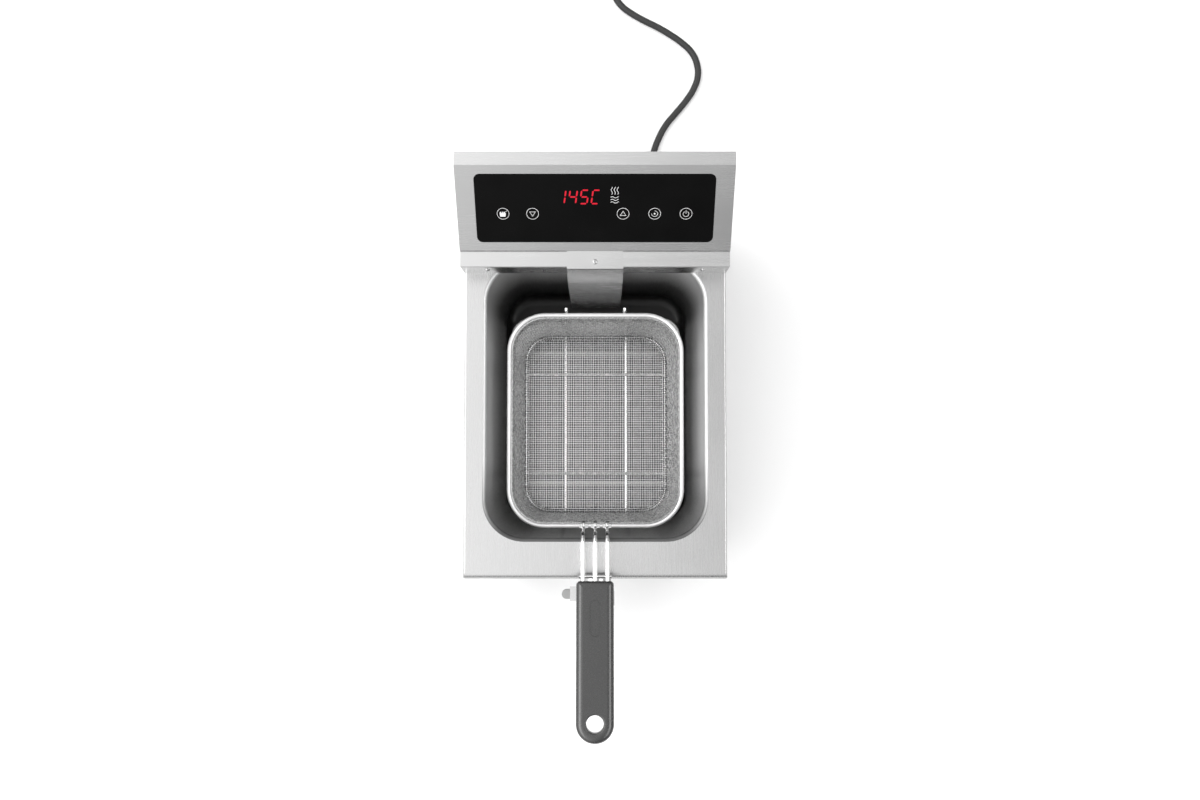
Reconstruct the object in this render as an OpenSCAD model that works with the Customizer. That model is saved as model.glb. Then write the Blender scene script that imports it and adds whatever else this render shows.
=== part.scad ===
// Countertop induction deep fryer: a steel housing with one welded-in oil tank,
// a sloping touch-control head, a drain tap, a bottom grate and a wire basket.
// X runs to the right, Y to the back and Z up. The origin lies on the table under
// the middle of the box round the housing and the basket's handle.

/* [Housing] */
// Width of the housing
body_w = 290; // [280:1:330]
// Height of the deck above the table
deck_h = 296; // [290:1:330]
// Thickness of the steel sheet
sheet_t = 1.2; // [1:0.1:1.5]
// Height of the deck's turned-down edge
apron_h = 18; // [14:1:30]
// Outer radius of the bend along the deck's front edge
front_bend_r = 7.5; // [6:0.5:14]
// Outer radius of the housing's other bends
edge_r = 2; // [1.7:0.1:3]
// Height of the base tray's upturned edge
tray_edge_h = 20; // [12:1:30]
// How far the rear panel sits inside the housing's back edge
rear_inset = 2.4; // [2:0.1:5]
// Diameter of the small sheet-metal screws
screw_d = 3; // [2.5:0.1:4]
// Diameter of those screws' heads
screw_head_d = 5.6; // [5:0.1:7]
// Height of those screws' heads
screw_head_h = 1.6; // [1.2:0.1:2]

/* [Feet] */
// Height of each foot
foot_h = 20; // [16:1:30]
// Diameter of each foot on the table
foot_d = 28; // [22:1:34]
// Distance from the housing's sides to each foot's middle
foot_inset = 30; // [22:1:45]
// Diameter of each foot's stud
foot_stud_d = 6; // [5:0.5:8]

/* [Control head] */
// Height of the head above the deck
head_h = 109; // [100:1:125]
// How far the head reaches over the tank's opening
head_lap = 10.1; // [9.5:0.1:14]
// Height of the basket ledge above the deck
ledge_h = 45; // [38:1:52]
// Depth of the basket ledge
ledge_d = 14; // [11:0.5:16]
// Groove between the ledge and the foot of the slope
ledge_gap = 2.2; // [1.5:0.1:3.5]
// Drop of the ledge's folded front lip
ledge_lip = 5; // [4:0.5:9]
// Step from the ledge up to the foot of the slope
slope_step = 4; // [3:0.5:8]
// Depth of the flat strip along the top of the head
top_strip_d = 13.8; // [8:0.1:16]

/* [Control glass] */
// Width of the glass
glass_w = 250; // [230:1:256]
// Length of the glass, up the slope
glass_l = 77.5; // [70:0.5:80]
// Thickness of the glass
glass_t = 4; // [3:0.5:5]
// Corner radius of the glass
glass_r = 6; // [3:0.5:10]
// Height of the glass above the slope
glass_proud = 0.8; // [0.4:0.1:1.5]
// Gap round the glass
glass_gap = 0.5; // [0.3:0.1:1]
// Width of the gasket's land under the sheet and under the glass
gasket_land = 4; // [3:0.5:5]
// Depth of the gasket below the glass
gasket_h = 5; // [4:0.5:8]
// Thickness of the circuit boards
board_t = 1.6; // [1.2:0.1:2]
// Diameter of each touch spring
touch_d = 11; // [8:0.5:13]

/* [Oil tank] */
// Width of the tank's opening
tank_w = 240; // [236:0.5:248]
// Length of the tank's opening
tank_l = 303; // [298:1:320]
// Corner radius of the tank's opening
tank_r = 42; // [38:1:50]
// Depth of the tank
tank_depth = 200; // [190:1:205]
// How far each wall leans in, top to bottom
tank_draft = 9; // [7:0.5:10]
// Radius where the walls meet the tank's floor
tank_floor_r = 12; // [8:1:14]
// Radius of the rolled rim
tank_rim_r = 4.5; // [3:0.5:6]
// Distance from the housing's front to the opening
tank_front = 45.4; // [38:0.1:48]
// Distance from the opening to the housing's back
tank_rear = 98.2; // [90:0.1:110]

/* [Sensor guard] */
// Width of the guard plate
guard_w = 60.5; // [50:0.5:70]
// Distance from the tank's back edge to the guard's lower end
guard_gap = 24.1; // [22:0.1:28]
// Height of the guard's lower end above the tank's floor
guard_foot = 17; // [14:1:30]
// Diameter of the temperature probe
probe_d = 6; // [4:0.5:7]
// Diameter of the high-limit thermostat's bulb
bulb_d = 8; // [6:0.5:9]
// Distance of each probe from the middle
probe_x = 13; // [9:0.5:20]

/* [Induction heater] */
// Outer radius of the induction coil
coil_r = 95; // [80:1:98]
// Spacing of the coil's turns
coil_pitch = 7; // [6:0.5:9]
// Number of turns
coil_turns = 10; // [6:1:10]
// Height of the coil's turns
coil_t = 5; // [4:0.5:6]
// Thickness of the insulation mat
mat_t = 4; // [3:0.5:6]
// Thickness of the coil carrier
carrier_t = 4; // [3:0.5:6]
// Number of ferrite bars
ferrite_n = 8; // [4:1:12]

/* [Power electronics] */
// Width of the inverter board
board_w = 160; // [130:1:180]
// Length of the inverter board
board_l = 60; // [50:1:70]
// Height of the inverter board above the tray's floor
board_rise = 9; // [6:1:16]
// Number of fins on the heat sink
fin_n = 11; // [6:1:14]
// Height of those fins
fin_h = 38; // [20:1:42]
// Width of the fan's frame
fan_w = 92; // [80:1:92]
// Depth of the fan's frame
fan_t = 25; // [20:1:28]
// Distance from the housing's left side to the fan's middle
fan_side = 85; // [70:1:95]
// Number of fan blades
fan_blades = 7; // [5:1:9]

/* [Drain tap] */
// Outer diameter of the drain pipe
pipe_d = 22; // [20:0.5:26]
// Wall of the drain pipe
pipe_wall = 3; // [2:0.5:4]
// Height of the drain pipe's middle above the tank's floor
drain_rise = 16; // [14:1:20]
// Distance from the housing's front to the valve's ball
tap_reach = 33.1; // [32:0.1:44]
// Diameter of the valve's ball
ball_d = 22; // [21:0.5:24]
// Bore through the ball
ball_bore = 13; // [10:0.5:14]
// Distance across the valve's hexagon, flat to flat
tap_hex = 40; // [38:1:50]
// Diameter of the lever's stem
stem_d = 8; // [6:0.5:10]
// Length of the lever, stem to tip
lever_l = 41.5; // [38:0.5:60]
// Width of the lever's plastic end
lever_w = 11.5; // [10:0.5:14]
// Diameter of the spout
spout_d = 20; // [18:0.5:22]
// Drop of the spout below the drain pipe's middle
spout_drop = 48; // [36:1:60]

/* [Bottom grate] */
// Gap between the tank's floor corner and the grate's sides
grate_side = 4; // [3.5:0.1:8]
// Gap between the drain pipe's end and the grate's front edge
grate_front = 0.5; // [0.3:0.1:4]
// Gap between the tank's floor corner and the grate's rear edge
grate_rear = 28.5; // [20:0.5:40]
// How much tighter the grate's corners are than the tank's
grate_corner = 9; // [6:0.5:9.5]
// Diameter of the grate's wire
grate_d = 3; // [2.5:0.5:6]
// Height of the grate's legs
grate_leg = 9; // [7:0.5:12]

/* [Basket] */
// Distance from the tank's side edges to the rim
basket_side = 19; // [17:0.5:24]
// Distance from the tank's front edge to the rim
basket_front = 8.1; // [7.8:0.1:14]
// Distance from the tank's rear edge to the rim
basket_rear = 49.4; // [44:0.1:60]
// Corner radius of the rim
basket_r = 44; // [38:1:52]
// Depth of the basket, rim to floor
basket_h = 136; // [120:1:150]
// How far the basket's walls lean in
basket_draft = 6; // [4:0.5:9]
// Diameter of the rim's wire
rim_d = 5; // [4:0.5:6]
// Diameter of the frame wires under the mesh
frame_d = 4; // [3:0.5:5]
// Thickness of the mesh
mesh_t = 1.2; // [1:0.1:1.6]
// Spacing of the mesh's openings
mesh_pitch = 12; // [10:0.5:16]
// Width of the bars between the openings
mesh_bar = 3.4; // [2.5:0.1:5]
// Distance of each rear hook from the middle
hook_x = 33.5; // [26:0.5:40]

/* [Basket handle] */
// Length of the grip
grip_l = 168; // [140:1:190]
// Distance from the housing's front back to the grip's inner end
grip_start = 0.9; // [0:0.1:3]
// Width of the grip
grip_w = 40; // [34:1:46]
// Thickness of the grip
grip_t = 20; // [16:1:26]
// Bevel along the grip's edges
grip_bevel = 5; // [3:0.5:7]
// Upward tilt of the grip
grip_tilt = 8; // [4:1:14]
// Height of the grip's inner end above the deck
grip_rise = 30; // [26:1:40]
// Diameter of the hanging hole
hole_d = 18.5; // [12:0.5:22]
// Diameter of the handle's wires
wire_d = 5; // [4:0.5:6]
// Spacing of the handle's wires
wire_pitch = 13.2; // [11:0.1:14]
// Bend radius of the handle's wires
wire_bend_r = 14; // [10:1:18]
// Length of wire inside the grip
wire_socket = 40; // [25:1:60]

/* [Power cord] */
// Diameter of the cord
cord_d = 8.8; // [8:0.1:10]
// Mean diameter of the coiled length
cord_coil_d = 96; // [90:1:106]

/* [Hidden] */
$fn = 64;

// How far a cutting solid runs past the faces that it cuts
cut = 1;
// Gap between welded wires and the mesh or wire beside them
weld_gap = 0.1;
// Clearance between bodies that move past each other
run_gap = 0.3;
// Radial clearance of a turning fit
fit = 0.1;

steel = "#c9cbcc";
bright_wire = "#d9dadb";
dark_plastic = "#4a4c4e";
pale_plastic = "#8f9294";
board_green = "#2f6b3c";

// Housing: the front and back of the body, and the inside faces of its sheets
grip_reach = grip_l * cos(grip_tilt) + (grip_t / 2 - grip_bevel) * sin(grip_tilt);
body_d = tank_front + tank_l + tank_rear;
back_y = (body_d - grip_start + grip_reach) / 2;
front_y = back_y - body_d;
half_w = body_w / 2;
rear_in_y = back_y - rear_inset - sheet_t;
front_in_y = front_y + sheet_t;
tray_w = body_w - 2 * sheet_t;
tray_l = rear_in_y - front_in_y;
tray_y = (rear_in_y + front_in_y) / 2;
tray_top = foot_h + sheet_t;
wrap_top = deck_h - apron_h;

// Control head
head_d = tank_rear + head_lap;
head_y = back_y - head_d;
ledge_z = deck_h + ledge_h;
slope_y = head_y + ledge_d + ledge_gap;
slope_z = ledge_z + slope_step;
head_top = deck_h + head_h;
slope_top_y = back_y - top_strip_d;
slope_angle = atan2(head_top - slope_z, slope_top_y - slope_y);
slope_l = norm([head_top - slope_z, slope_top_y - slope_y]);
glass_under = glass_proud - glass_t;
touch_xs = [-96.5, -65.5, 29.5, 62.5, 95.5];
touch_up = slope_l / 2 - 6;
face_screw_x = 118;
face_screw_z = deck_h + ledge_h / 2;

// Tank
tank_y = front_y + tank_front + tank_l / 2;
tank_back_y = tank_y + tank_l / 2;
tank_front_y = tank_y - tank_l / 2;
tank_floor_z = deck_h - tank_depth;
tank_wall_h = tank_depth - tank_rim_r;
tank_lean = atan2(tank_draft, tank_wall_h);
guard_y = tank_back_y - guard_gap;
probe_y = tank_back_y - tank_draft - bulb_d / 2;
probe_top_y = head_y + sheet_t + probe_d / 2 + 1.2;
probe_low_z = tank_floor_z + guard_foot + 12;
bulb_neck_d = 3;
bulb_l = 90;
drain_z = tank_floor_z + drain_rise;

// Heater stack, hanging under the tank
mat_z = tank_floor_z - sheet_t - mat_t;
coil_z = mat_z - coil_t;
carrier_z = coil_z - carrier_t;
carrier_r = coil_r + 6;
post_r = carrier_r - 9;
ferrite_t = 4;

// Electronics, behind the heater
fan_x = -half_w + fan_side;
board_x = fan_x + 15;
board_y = rear_in_y - fan_t - 8 - board_l / 2;
board_z = tray_top + board_rise;
sink_w = 100;
sink_x = fan_x;
switch_t = 5;
sink_z = board_z + board_t + switch_t;
sink_base_t = 5;
fan_z = foot_h + tray_edge_h + 2 + fan_w / 2;
fan_y = rear_in_y - fan_t;
duct_d = fan_w - 6;
fan_hub_d = 34;
fan_back_t = 3;
cap_x = fan_x + 75;

// Drain tap
pipe_bore = pipe_d - 2 * pipe_wall;
pipe_low = max(tank_floor_r - drain_rise + pipe_d / 2, 0);
pipe_in_y = tank_front_y + tank_draft + 0.3
    + tank_floor_r * (1 / cos(tank_lean) - tan(tank_lean)) - sqrt(pow(tank_floor_r, 2) - pow(pipe_low, 2));
nut_t = 5;
tap_y = front_y - tap_reach;
tap_d = 38;
tap_back_y = front_y - nut_t - 0.7;
tap_front_y = tap_y - 17;
socket_l = 8;
collar_l = 18;
neck_d = stem_d + 10;
neck_top = drain_z + tap_hex / 2 + 3;
arm_z = neck_top + run_gap;
arm_t = 3;
lever_nut_t = 4;
tongue_w = 6;
grip_sleeve_l = 10;
grip_sleeve_t = 7;
spout_bore = ball_bore;
spout_socket = 4;
spout_lap = 0.5;
elbow_d = spout_d + 3;
spout_bend_r = elbow_d / 2 + 1;
spout_y = tap_front_y - 1.5 - spout_bend_r;

// Grate, standing on the tank's floor
grate_w = tank_w - 2 * (tank_draft + grate_side);
grate_front_y = pipe_in_y + grate_front;
grate_back_y = tank_back_y - tank_draft - grate_rear;
grate_l = grate_back_y - grate_front_y;
grate_r = tank_r - tank_draft - grate_corner;
grate_y = (grate_front_y + grate_back_y) / 2;
grate_z = tank_floor_z + run_gap + grate_leg + grate_d / 2;
grate_bar_d = 4;
grate_bar_z = grate_z - mesh_t / 2 - grate_bar_d / 2 - weld_gap;
grate_top = grate_z + mesh_t / 2;
grate_leg_x = grate_w / 2 - 27;
grate_bar_y = grate_l / 2 - 45;

// Basket, standing on the grate
basket_w = tank_w - 2 * basket_side;
basket_l = tank_l - basket_front - basket_rear;
basket_y = tank_front_y + basket_front + basket_l / 2;
low_wire_z = grate_top + run_gap + frame_d / 2;
high_wire_z = low_wire_z + frame_d + weld_gap;
mesh_z = high_wire_z + frame_d / 2 + weld_gap;
rim_z = mesh_z + basket_h;
mesh_top = rim_z - mesh_z + rim_d / 4;
mesh_in = rim_d + weld_gap;
mesh_lean = atan2(basket_draft, mesh_top);
mesh_slant = norm([basket_draft, mesh_top]);
flat_w = basket_w - 2 * basket_r;
flat_l = basket_l - 2 * basket_r;
floor_w = basket_w - 2 * (mesh_in + basket_draft + mesh_t);
floor_l = basket_l - 2 * (mesh_in + basket_draft + mesh_t);
floor_r = basket_r - mesh_in - basket_draft - mesh_t;
frame_x = 38;
frame_y = 62;
high_bend_r = frame_d / 2 + 0.6;
low_bend_r = frame_d / 2 + 5;
hook_drop = 28;
hook_y = basket_y + basket_l / 2 + frame_d / 2 + weld_gap;

// Handle
wire_y = basket_y - basket_l / 2 - wire_d / 2 - weld_gap;
wire_tail = 12;
grip_y = front_y + grip_start;
grip_z = deck_h + grip_rise;
wire_turn_z = grip_z - (wire_y - grip_y) * tan(grip_tilt);

// Power cord: the gland, the route on the table and the coil
gland_x = 70;
gland_z = 55;
gland_hole_d = 16;
cord_sides = 10;
wire_sides = 12;
cord_route = [
    [70, 331, 55], [70, 343, 55], [70, 355, 52], [71, 366, 44], [73, 376, 34],
    [74, 386, 24], [76, 396, 14], [78, 408, 7], [84, 426, 4.5], [95, 447, 4.5],
    [108, 463, 4.5], [122, 480, 4.5], [133, 497, 4.5], [139, 515, 4.5],
    [138, 532, 4.5], [131, 548, 4.5], [117, 562, 4.5], [100, 574, 4.5],
    [83, 584, 4.5], [65, 593, 4.5], [48, 603, 4.5], [35, 613, 4.5],
    [26, 626, 4.5], [20, 642, 4.5], [18, 663, 4.5]
];
cord_coil_x = -34;
cord_coil_y = 690;
plug_x = cord_coil_x - 36;
plug_y = cord_coil_y + cord_coil_d / 2;
plug_z = cord_d * 1.5;
plug_relief_l = 22;
plug_l = 34;
pin_l = 19;
pin_gap = 19;
pin_d = 4.8;

// ---- Shapes that several pieces share ----

// A rectangle with round corners
module rounded_rect(w, l, r) {
    square([w, l - 2 * r], center = true);
    square([w - 2 * r, l], center = true);
    for (x = [-1, 1], y = [-1, 1])
        translate([x * (w / 2 - r), y * (l / 2 - r)])
            circle(r);
}

// A profile swept round a rectangle of w by l with corner radius r.
// The profile's x runs outward from the corner centres.
module sweep_round(w, l, r) {
    for (i = [0 : 3]) {
        side = (i % 2 == 0 ? l : w) - 2 * r;
        reach = (i % 2 == 0 ? w : l) / 2 - r;
        rotate(i * 90) translate([reach, side / 2, 0]) {
            rotate([90, 0, 0]) linear_extrude(side) children();
            rotate_extrude(angle = 90) children();
        }
    }
}

function heading(a, b) = atan2(b.y - a.y, b.x - a.x);
function turned(a) = a > 180 ? a - 360 : a < -180 ? a + 360 : a;

// The flat line through points, moved to its left by d, with mitred corners
function beside(points, d) = [
    for (i = [0 : len(points) - 1])
        let (
            last = len(points) - 1,
            a = heading(points[max(i - 1, 0)], points[max(i, 1)]),
            t = turned(heading(points[min(i, last - 1)], points[min(i + 1, last)]) - a)
        )
        points[i] + d / cos(t / 2) * [-sin(a + t / 2), cos(a + t / 2)]
];

// Outline of a folded sheet of thickness t: its inner face follows the points
module folded_sheet(points, t) {
    outer = beside(points, -t);
    polygon(concat(points, [for (i = [len(outer) - 1 : -1 : 0]) outer[i]]));
}

// Puts a flat drawing upright: its x along Y and its y along Z, at x = at
module in_side_view(at) {
    translate([at, 0, 0]) rotate([90, 0, 90]) children();
}

// Puts a flat drawing upright: its x along X and its y along Z, at y = at
module in_front_view(at) {
    translate([0, at, 0]) rotate([90, 0, 0]) children();
}

function unit(v) = v / norm(v);

// Points round the bend of radius r that joins line a-b to line b-c
function bend_points(a, b, c, r) =
    let (
        u = unit(b - a),
        v = unit(c - b),
        turn = acos(u * v),
        inward = unit(v - (u * v) * u),
        start = b - r * tan(turn / 2) * u,
        steps = ceil(turn / 15)
    )
    [for (k = [0 : steps])
        let (t = turn * k / steps) start + r * (inward * (1 - cos(t)) + u * sin(t))];

// A line through points in space, with bends of radius r at its inner points
function bent(points, r) =
    let (last = len(points) - 1)
    [
        points[0],
        for (i = [1 : last - 1]) each bend_points(points[i - 1], points[i], points[i + 1], r),
        points[last]
    ];

// Ring of points round a line at its point i, with one point set by across
function ring(line, i, d, sides, across) =
    let (
        last = len(line) - 1,
        along = unit(line[min(i + 1, last)] - line[max(i - 1, 0)]),
        side = unit(cross(along, across)),
        up = cross(side, along)
    )
    [for (k = [0 : sides - 1])
        line[i] + d / 2 * (side * cos(k * 360 / sides) + up * sin(k * 360 / sides))];

// A round wire or cord of diameter d swept along a line through points.
// across is a direction that the line never follows.
module wire(line, d, sides, across) {
    rings = len(line);
    n = sides;
    polyhedron(
        points = [for (i = [0 : rings - 1]) each ring(line, i, d, sides, across)],
        faces = concat(
            [[for (k = [n - 1 : -1 : 0]) k]],
            [for (i = [0 : rings - 2], k = [0 : n - 1])
                [i * n + k, i * n + (k + 1) % n, (i + 1) * n + (k + 1) % n, (i + 1) * n + k]],
            [[for (k = [0 : n - 1]) (rings - 1) * n + k]]
        )
    );
}

// Points of a closed outline whose corners are rounded to radius r
function rounded(points, r) = [
    for (i = [0 : len(points) - 1])
        let (
            n = len(points),
            p = points[i],
            h1 = heading(points[(i + n - 1) % n], p),
            t = turned(heading(p, points[(i + 1) % n]) - h1),
            side = t > 0 ? 1 : -1,
            start = p - r * tan(abs(t) / 2) * [cos(h1), sin(h1)],
            middle = start + side * r * [-sin(h1), cos(h1)]
        )
        for (k = [0 : 4])
            middle + r * [cos(h1 - side * 90 + t * k / 4), sin(h1 - side * 90 + t * k / 4)]
];

// Places its children on the slope: x right, y up the slope, z out of it
module on_slope() {
    translate([0, slope_y, slope_z]) rotate([slope_angle, 0, 0]) children();
}

// A pan-head screw standing on z = 0, with its shank below
module pan_screw(shank) {
    cylinder(h = screw_head_h, d1 = screw_head_d, d2 = screw_head_d * 0.7);
    translate([0, 0, -shank]) cylinder(h = shank, d = screw_d);
}

// ---- Housing ----

module base_tray() {
    vent_w = 46;
    vent_l = 4;
    vent_pitch = 12;
    color(steel) {
        difference() {
            translate([0, tray_y, foot_h])
                linear_extrude(tray_edge_h) rounded_rect(tray_w, tray_l, edge_r - sheet_t + 0.2);
            translate([0, tray_y, tray_top])
                linear_extrude(tray_edge_h)
                    square([tray_w - 2 * sheet_t, tray_l - 2 * sheet_t], center = true);
            for (x = [-1, 1], i = [-4 : 4])
                translate([x * 40 - vent_w / 2, tank_y + i * vent_pitch, foot_h - cut])
                    cube([vent_w, vent_l, sheet_t + 2 * cut]);
            feet_at() translate([0, 0, foot_h - cut]) cylinder(h = sheet_t + 2 * cut, d = foot_stud_d);
            for (p = rear_screws)
                if (p.y < foot_h + tray_edge_h)
                    in_front_view(rear_in_y + cut)
                        translate([p.x, p.y, 0]) cylinder(h = sheet_t + 2 * cut, d = screw_d);
        }
        for (x = [-1, 1], y = [-1, 1])
            translate([board_x + x * (board_w / 2 - 8), board_y + y * (board_l / 2 - 6), tray_top])
                cylinder(h = board_rise, d = 8);
    }
}

// Outline of the wrap seen from above, moved in by inset and open at the back
module wrap_outline(inset, back) {
    r = edge_r - inset;
    w = body_w - 2 * inset;
    y = front_y + inset;
    translate([-w / 2, y + r]) square([w, back - y - r]);
    translate([-w / 2 + r, y]) square([w - 2 * r, back - y]);
    for (x = [-1, 1])
        translate([x * (w / 2 - r), y + r]) circle(r);
}

module outer_wrap() {
    color(steel) difference() {
        translate([0, 0, foot_h]) linear_extrude(wrap_top - foot_h) wrap_outline(0, back_y);
        translate([0, 0, foot_h - cut])
            linear_extrude(wrap_top - foot_h + 2 * cut) wrap_outline(sheet_t, back_y + cut);
        in_front_view(front_in_y + cut) translate([0, drain_z, 0]) cylinder(h = 2 * sheet_t + 2 * cut, d = pipe_d);
    }
}

// Places of the screws round the rear panel, as [x, z]
rear_screws = [
    for (x = [-1, 0, 1]) [x * (half_w - 12), foot_h + 9],
    for (x = [-1, 1]) [x * (half_w - 12), (foot_h + deck_h) / 2],
    for (x = [-1, 0, 1]) [x * (half_w - 12), deck_h - 12]
];

module rear_panel() {
    slot = 5;
    slot_pitch = 9;
    reach = duct_d / 2;
    louvre_w = 70;
    louvre_n = 6;
    color(steel) difference() {
        translate([-half_w + sheet_t, rear_in_y, foot_h])
            cube([body_w - 2 * sheet_t, sheet_t, deck_h - sheet_t - foot_h]);
        for (i = [-4 : 4])
            let (w = 2 * sqrt(reach * reach - pow(i * slot_pitch, 2)) - 6)
                translate([fan_x - w / 2, rear_in_y - cut, fan_z + i * slot_pitch - slot / 2])
                    cube([w, sheet_t + 2 * cut, slot]);
        for (x = [-1, 1], i = [0 : louvre_n - 1])
            translate([x * 70 - louvre_w / 2, rear_in_y - cut, deck_h - 90 + i * slot_pitch])
                cube([louvre_w, sheet_t + 2 * cut, slot]);
        in_front_view(rear_in_y + sheet_t + cut)
            translate([gland_x, gland_z, 0]) cylinder(h = sheet_t + 2 * cut, d = gland_hole_d);
        for (p = rear_screws)
            in_front_view(rear_in_y + sheet_t + cut)
                translate([p.x, p.y, 0]) cylinder(h = sheet_t + 2 * cut, d = screw_d);
    }
}

module panel_screws() {
    color(bright_wire)
        for (p = rear_screws)
            translate([p.x, rear_in_y + sheet_t, p.y]) rotate([-90, 0, 0]) pan_screw(5);
}

// A block with the deck's round edges, moved in by inset and down to z = low
module deck_block(inset, low) {
    top = deck_h - inset;
    side_r = edge_r - inset;
    nose_r = front_bend_r - inset;
    w = body_w - 2 * inset;
    nose_y = front_y + inset;
    intersection() {
        translate([0, 0, low]) linear_extrude(top - low) wrap_outline(inset, back_y + inset);
        in_front_view(back_y + inset) linear_extrude(body_d + 2 * inset) {
            translate([-w / 2, low]) square([w, top - low - side_r]);
            translate([-w / 2 + side_r, low]) square([w - 2 * side_r, top - low]);
            for (x = [-1, 1])
                translate([x * (w / 2 - side_r), top - side_r]) circle(side_r);
        }
        in_side_view(-half_w) linear_extrude(body_w) {
            translate([nose_y, low]) square([back_y + inset - nose_y, top - low - nose_r]);
            translate([nose_y + nose_r, low]) square([back_y + inset - nose_y - nose_r, top - low]);
            translate([nose_y + nose_r, top - nose_r]) circle(nose_r);
        }
    }
}

module deck_plate() {
    color(steel) difference() {
        deck_block(0, wrap_top);
        deck_block(sheet_t, wrap_top - cut);
        translate([0, tank_y, deck_h - sheet_t - cut])
            linear_extrude(sheet_t + 2 * cut)
                rounded_rect(tank_w + 2 * tank_rim_r, tank_l + 2 * tank_rim_r, tank_r + tank_rim_r);
    }
}

// Profile of the tank's inside from a corner centre outward, grown by o
module tank_profile(o) {
    foot = tank_r - tank_draft;
    x = foot + tank_floor_r * (tan(tank_lean) - 1 / cos(tank_lean));
    r = tank_floor_r + o;
    polygon([
        [0, -o],
        [x, -o],
        [x + r * cos(tank_lean), tank_floor_r - r * sin(tank_lean)],
        [tank_r + o / cos(tank_lean), tank_wall_h],
        [0, tank_wall_h]
    ]);
    intersection() {
        translate([x, tank_floor_r]) circle(r);
        translate([x, -o]) square([r, r]);
    }
}

module oil_tank() {
    color(steel) difference() {
        translate([0, tank_y, tank_floor_z]) {
            sweep_round(tank_w, tank_l, tank_r) {
                difference() {
                    tank_profile(sheet_t);
                    tank_profile(0);
                }
                translate([tank_r + tank_rim_r, tank_wall_h]) intersection() {
                    difference() {
                        circle(tank_rim_r);
                        circle(tank_rim_r - sheet_t);
                    }
                    translate([-tank_rim_r, 0]) square(tank_rim_r);
                }
            }
            translate([0, 0, -sheet_t / 2])
                cube([tank_w - 2 * tank_r, tank_l - 2 * tank_r, sheet_t], center = true);
        }
        in_front_view(pipe_in_y + tank_draft)
            translate([0, drain_z, 0]) cylinder(h = 3 * tank_draft, d = pipe_d);
    }
}

module foot() {
    color(dark_plastic) {
        cylinder(h = foot_h, d1 = foot_d, d2 = foot_d + 4);
        cylinder(h = foot_h + sheet_t + 4, d = foot_stud_d);
    }
}

// Middle of the foot on side x (-1 left, 1 right) and end y (-1 front, 1 rear)
function foot_place(x, y) = [
    x * (half_w - foot_inset),
    y < 0 ? front_y + foot_inset : back_y - foot_inset,
    0
];

module feet_at() {
    for (x = [-1, 1], y = [-1, 1])
        translate(foot_place(x, y)) children();
}

module foot_front_left() { translate(foot_place(-1, -1)) foot(); }
module foot_front_right() { translate(foot_place(1, -1)) foot(); }
module foot_rear_left() { translate(foot_place(-1, 1)) foot(); }
module foot_rear_right() { translate(foot_place(1, 1)) foot(); }

// ---- Control head ----

// The head's side outline, moved in by inset and open below the deck by below
function head_outline(inset, below) = [
    [head_y + inset, deck_h - below],
    [head_y + inset, ledge_z - inset],
    [slope_y + inset, ledge_z - inset],
    [slope_y + inset, slope_z - inset * tan(45 - slope_angle / 2)],
    [slope_top_y + inset * tan(slope_angle / 2), head_top - inset],
    [back_y - inset, head_top - inset],
    [back_y - inset, deck_h - below]
];

module head_shell() {
    color(steel) difference() {
        in_side_view(-half_w) linear_extrude(body_w) intersection() {
            polygon(rounded(head_outline(0, edge_r), edge_r / 2));
            translate([head_y, deck_h]) square([head_d, head_h]);
        }
        in_side_view(-half_w + sheet_t) linear_extrude(body_w - 2 * sheet_t)
            polygon(head_outline(sheet_t, cut));
        on_slope() translate([0, slope_l / 2, -2 * sheet_t])
            linear_extrude(4 * sheet_t)
                rounded_rect(glass_w + 2 * glass_gap, glass_l + 2 * glass_gap, glass_r + glass_gap);
        translate([0, head_y + 4.5, ledge_z - cut - sheet_t])
            cylinder(h = 2 * cut + sheet_t, d = screw_d);
        for (x = [-1, 1])
            in_front_view(head_y + sheet_t + cut)
                translate([x * face_screw_x, face_screw_z, 0])
                    cylinder(h = sheet_t + 2 * cut, d = screw_d);
    }
}

module head_floor() {
    color(steel) difference() {
        translate([-half_w + sheet_t, head_y + sheet_t, deck_h])
            cube([body_w - 2 * sheet_t, head_d - 2 * sheet_t, sheet_t]);
        for (x = [-1, 1])
            translate([x * probe_x, probe_top_y, deck_h - cut])
                cylinder(h = sheet_t + 2 * cut, d = x < 0 ? probe_d : bulb_neck_d);
    }
}

module basket_ledge() {
    w = body_w - 2 * 0.8;
    color(steel) difference() {
        in_side_view(-w / 2) linear_extrude(w)
            folded_sheet(bent([
                [slope_y - ledge_gap, ledge_z],
                [head_y, ledge_z],
                [head_y, ledge_z - ledge_lip]
            ], edge_r - sheet_t), sheet_t);
        translate([0, head_y + 4.5, ledge_z - cut]) cylinder(h = sheet_t + 2 * cut, d = screw_d);
    }
}

module sensor_guard() {
    top = ledge_z + sheet_t;
    color(steel) difference() {
        in_side_view(-guard_w / 2) linear_extrude(guard_w)
            folded_sheet(concat(
                [[slope_y, top]],
                bend_points([slope_y, top], [head_y - 2.6, top], [guard_y + 4, deck_h + 2], 1.5),
                [
                    [guard_y + 4, deck_h + 2],
                    [guard_y + 1.2, deck_h - 60],
                    [guard_y, tank_floor_z + guard_foot]
                ]
            ), sheet_t);
        translate([0, head_y + 4.5, top - cut]) cylinder(h = sheet_t + 2 * cut, d = screw_d);
    }
}

module head_screws() {
    color(bright_wire) {
        translate([0, head_y + 4.5, ledge_z + 2 * sheet_t]) pan_screw(6);
        for (x = [-1, 1])
            translate([x * face_screw_x, head_y, face_screw_z]) rotate([90, 0, 0]) pan_screw(5);
    }
}

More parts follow.
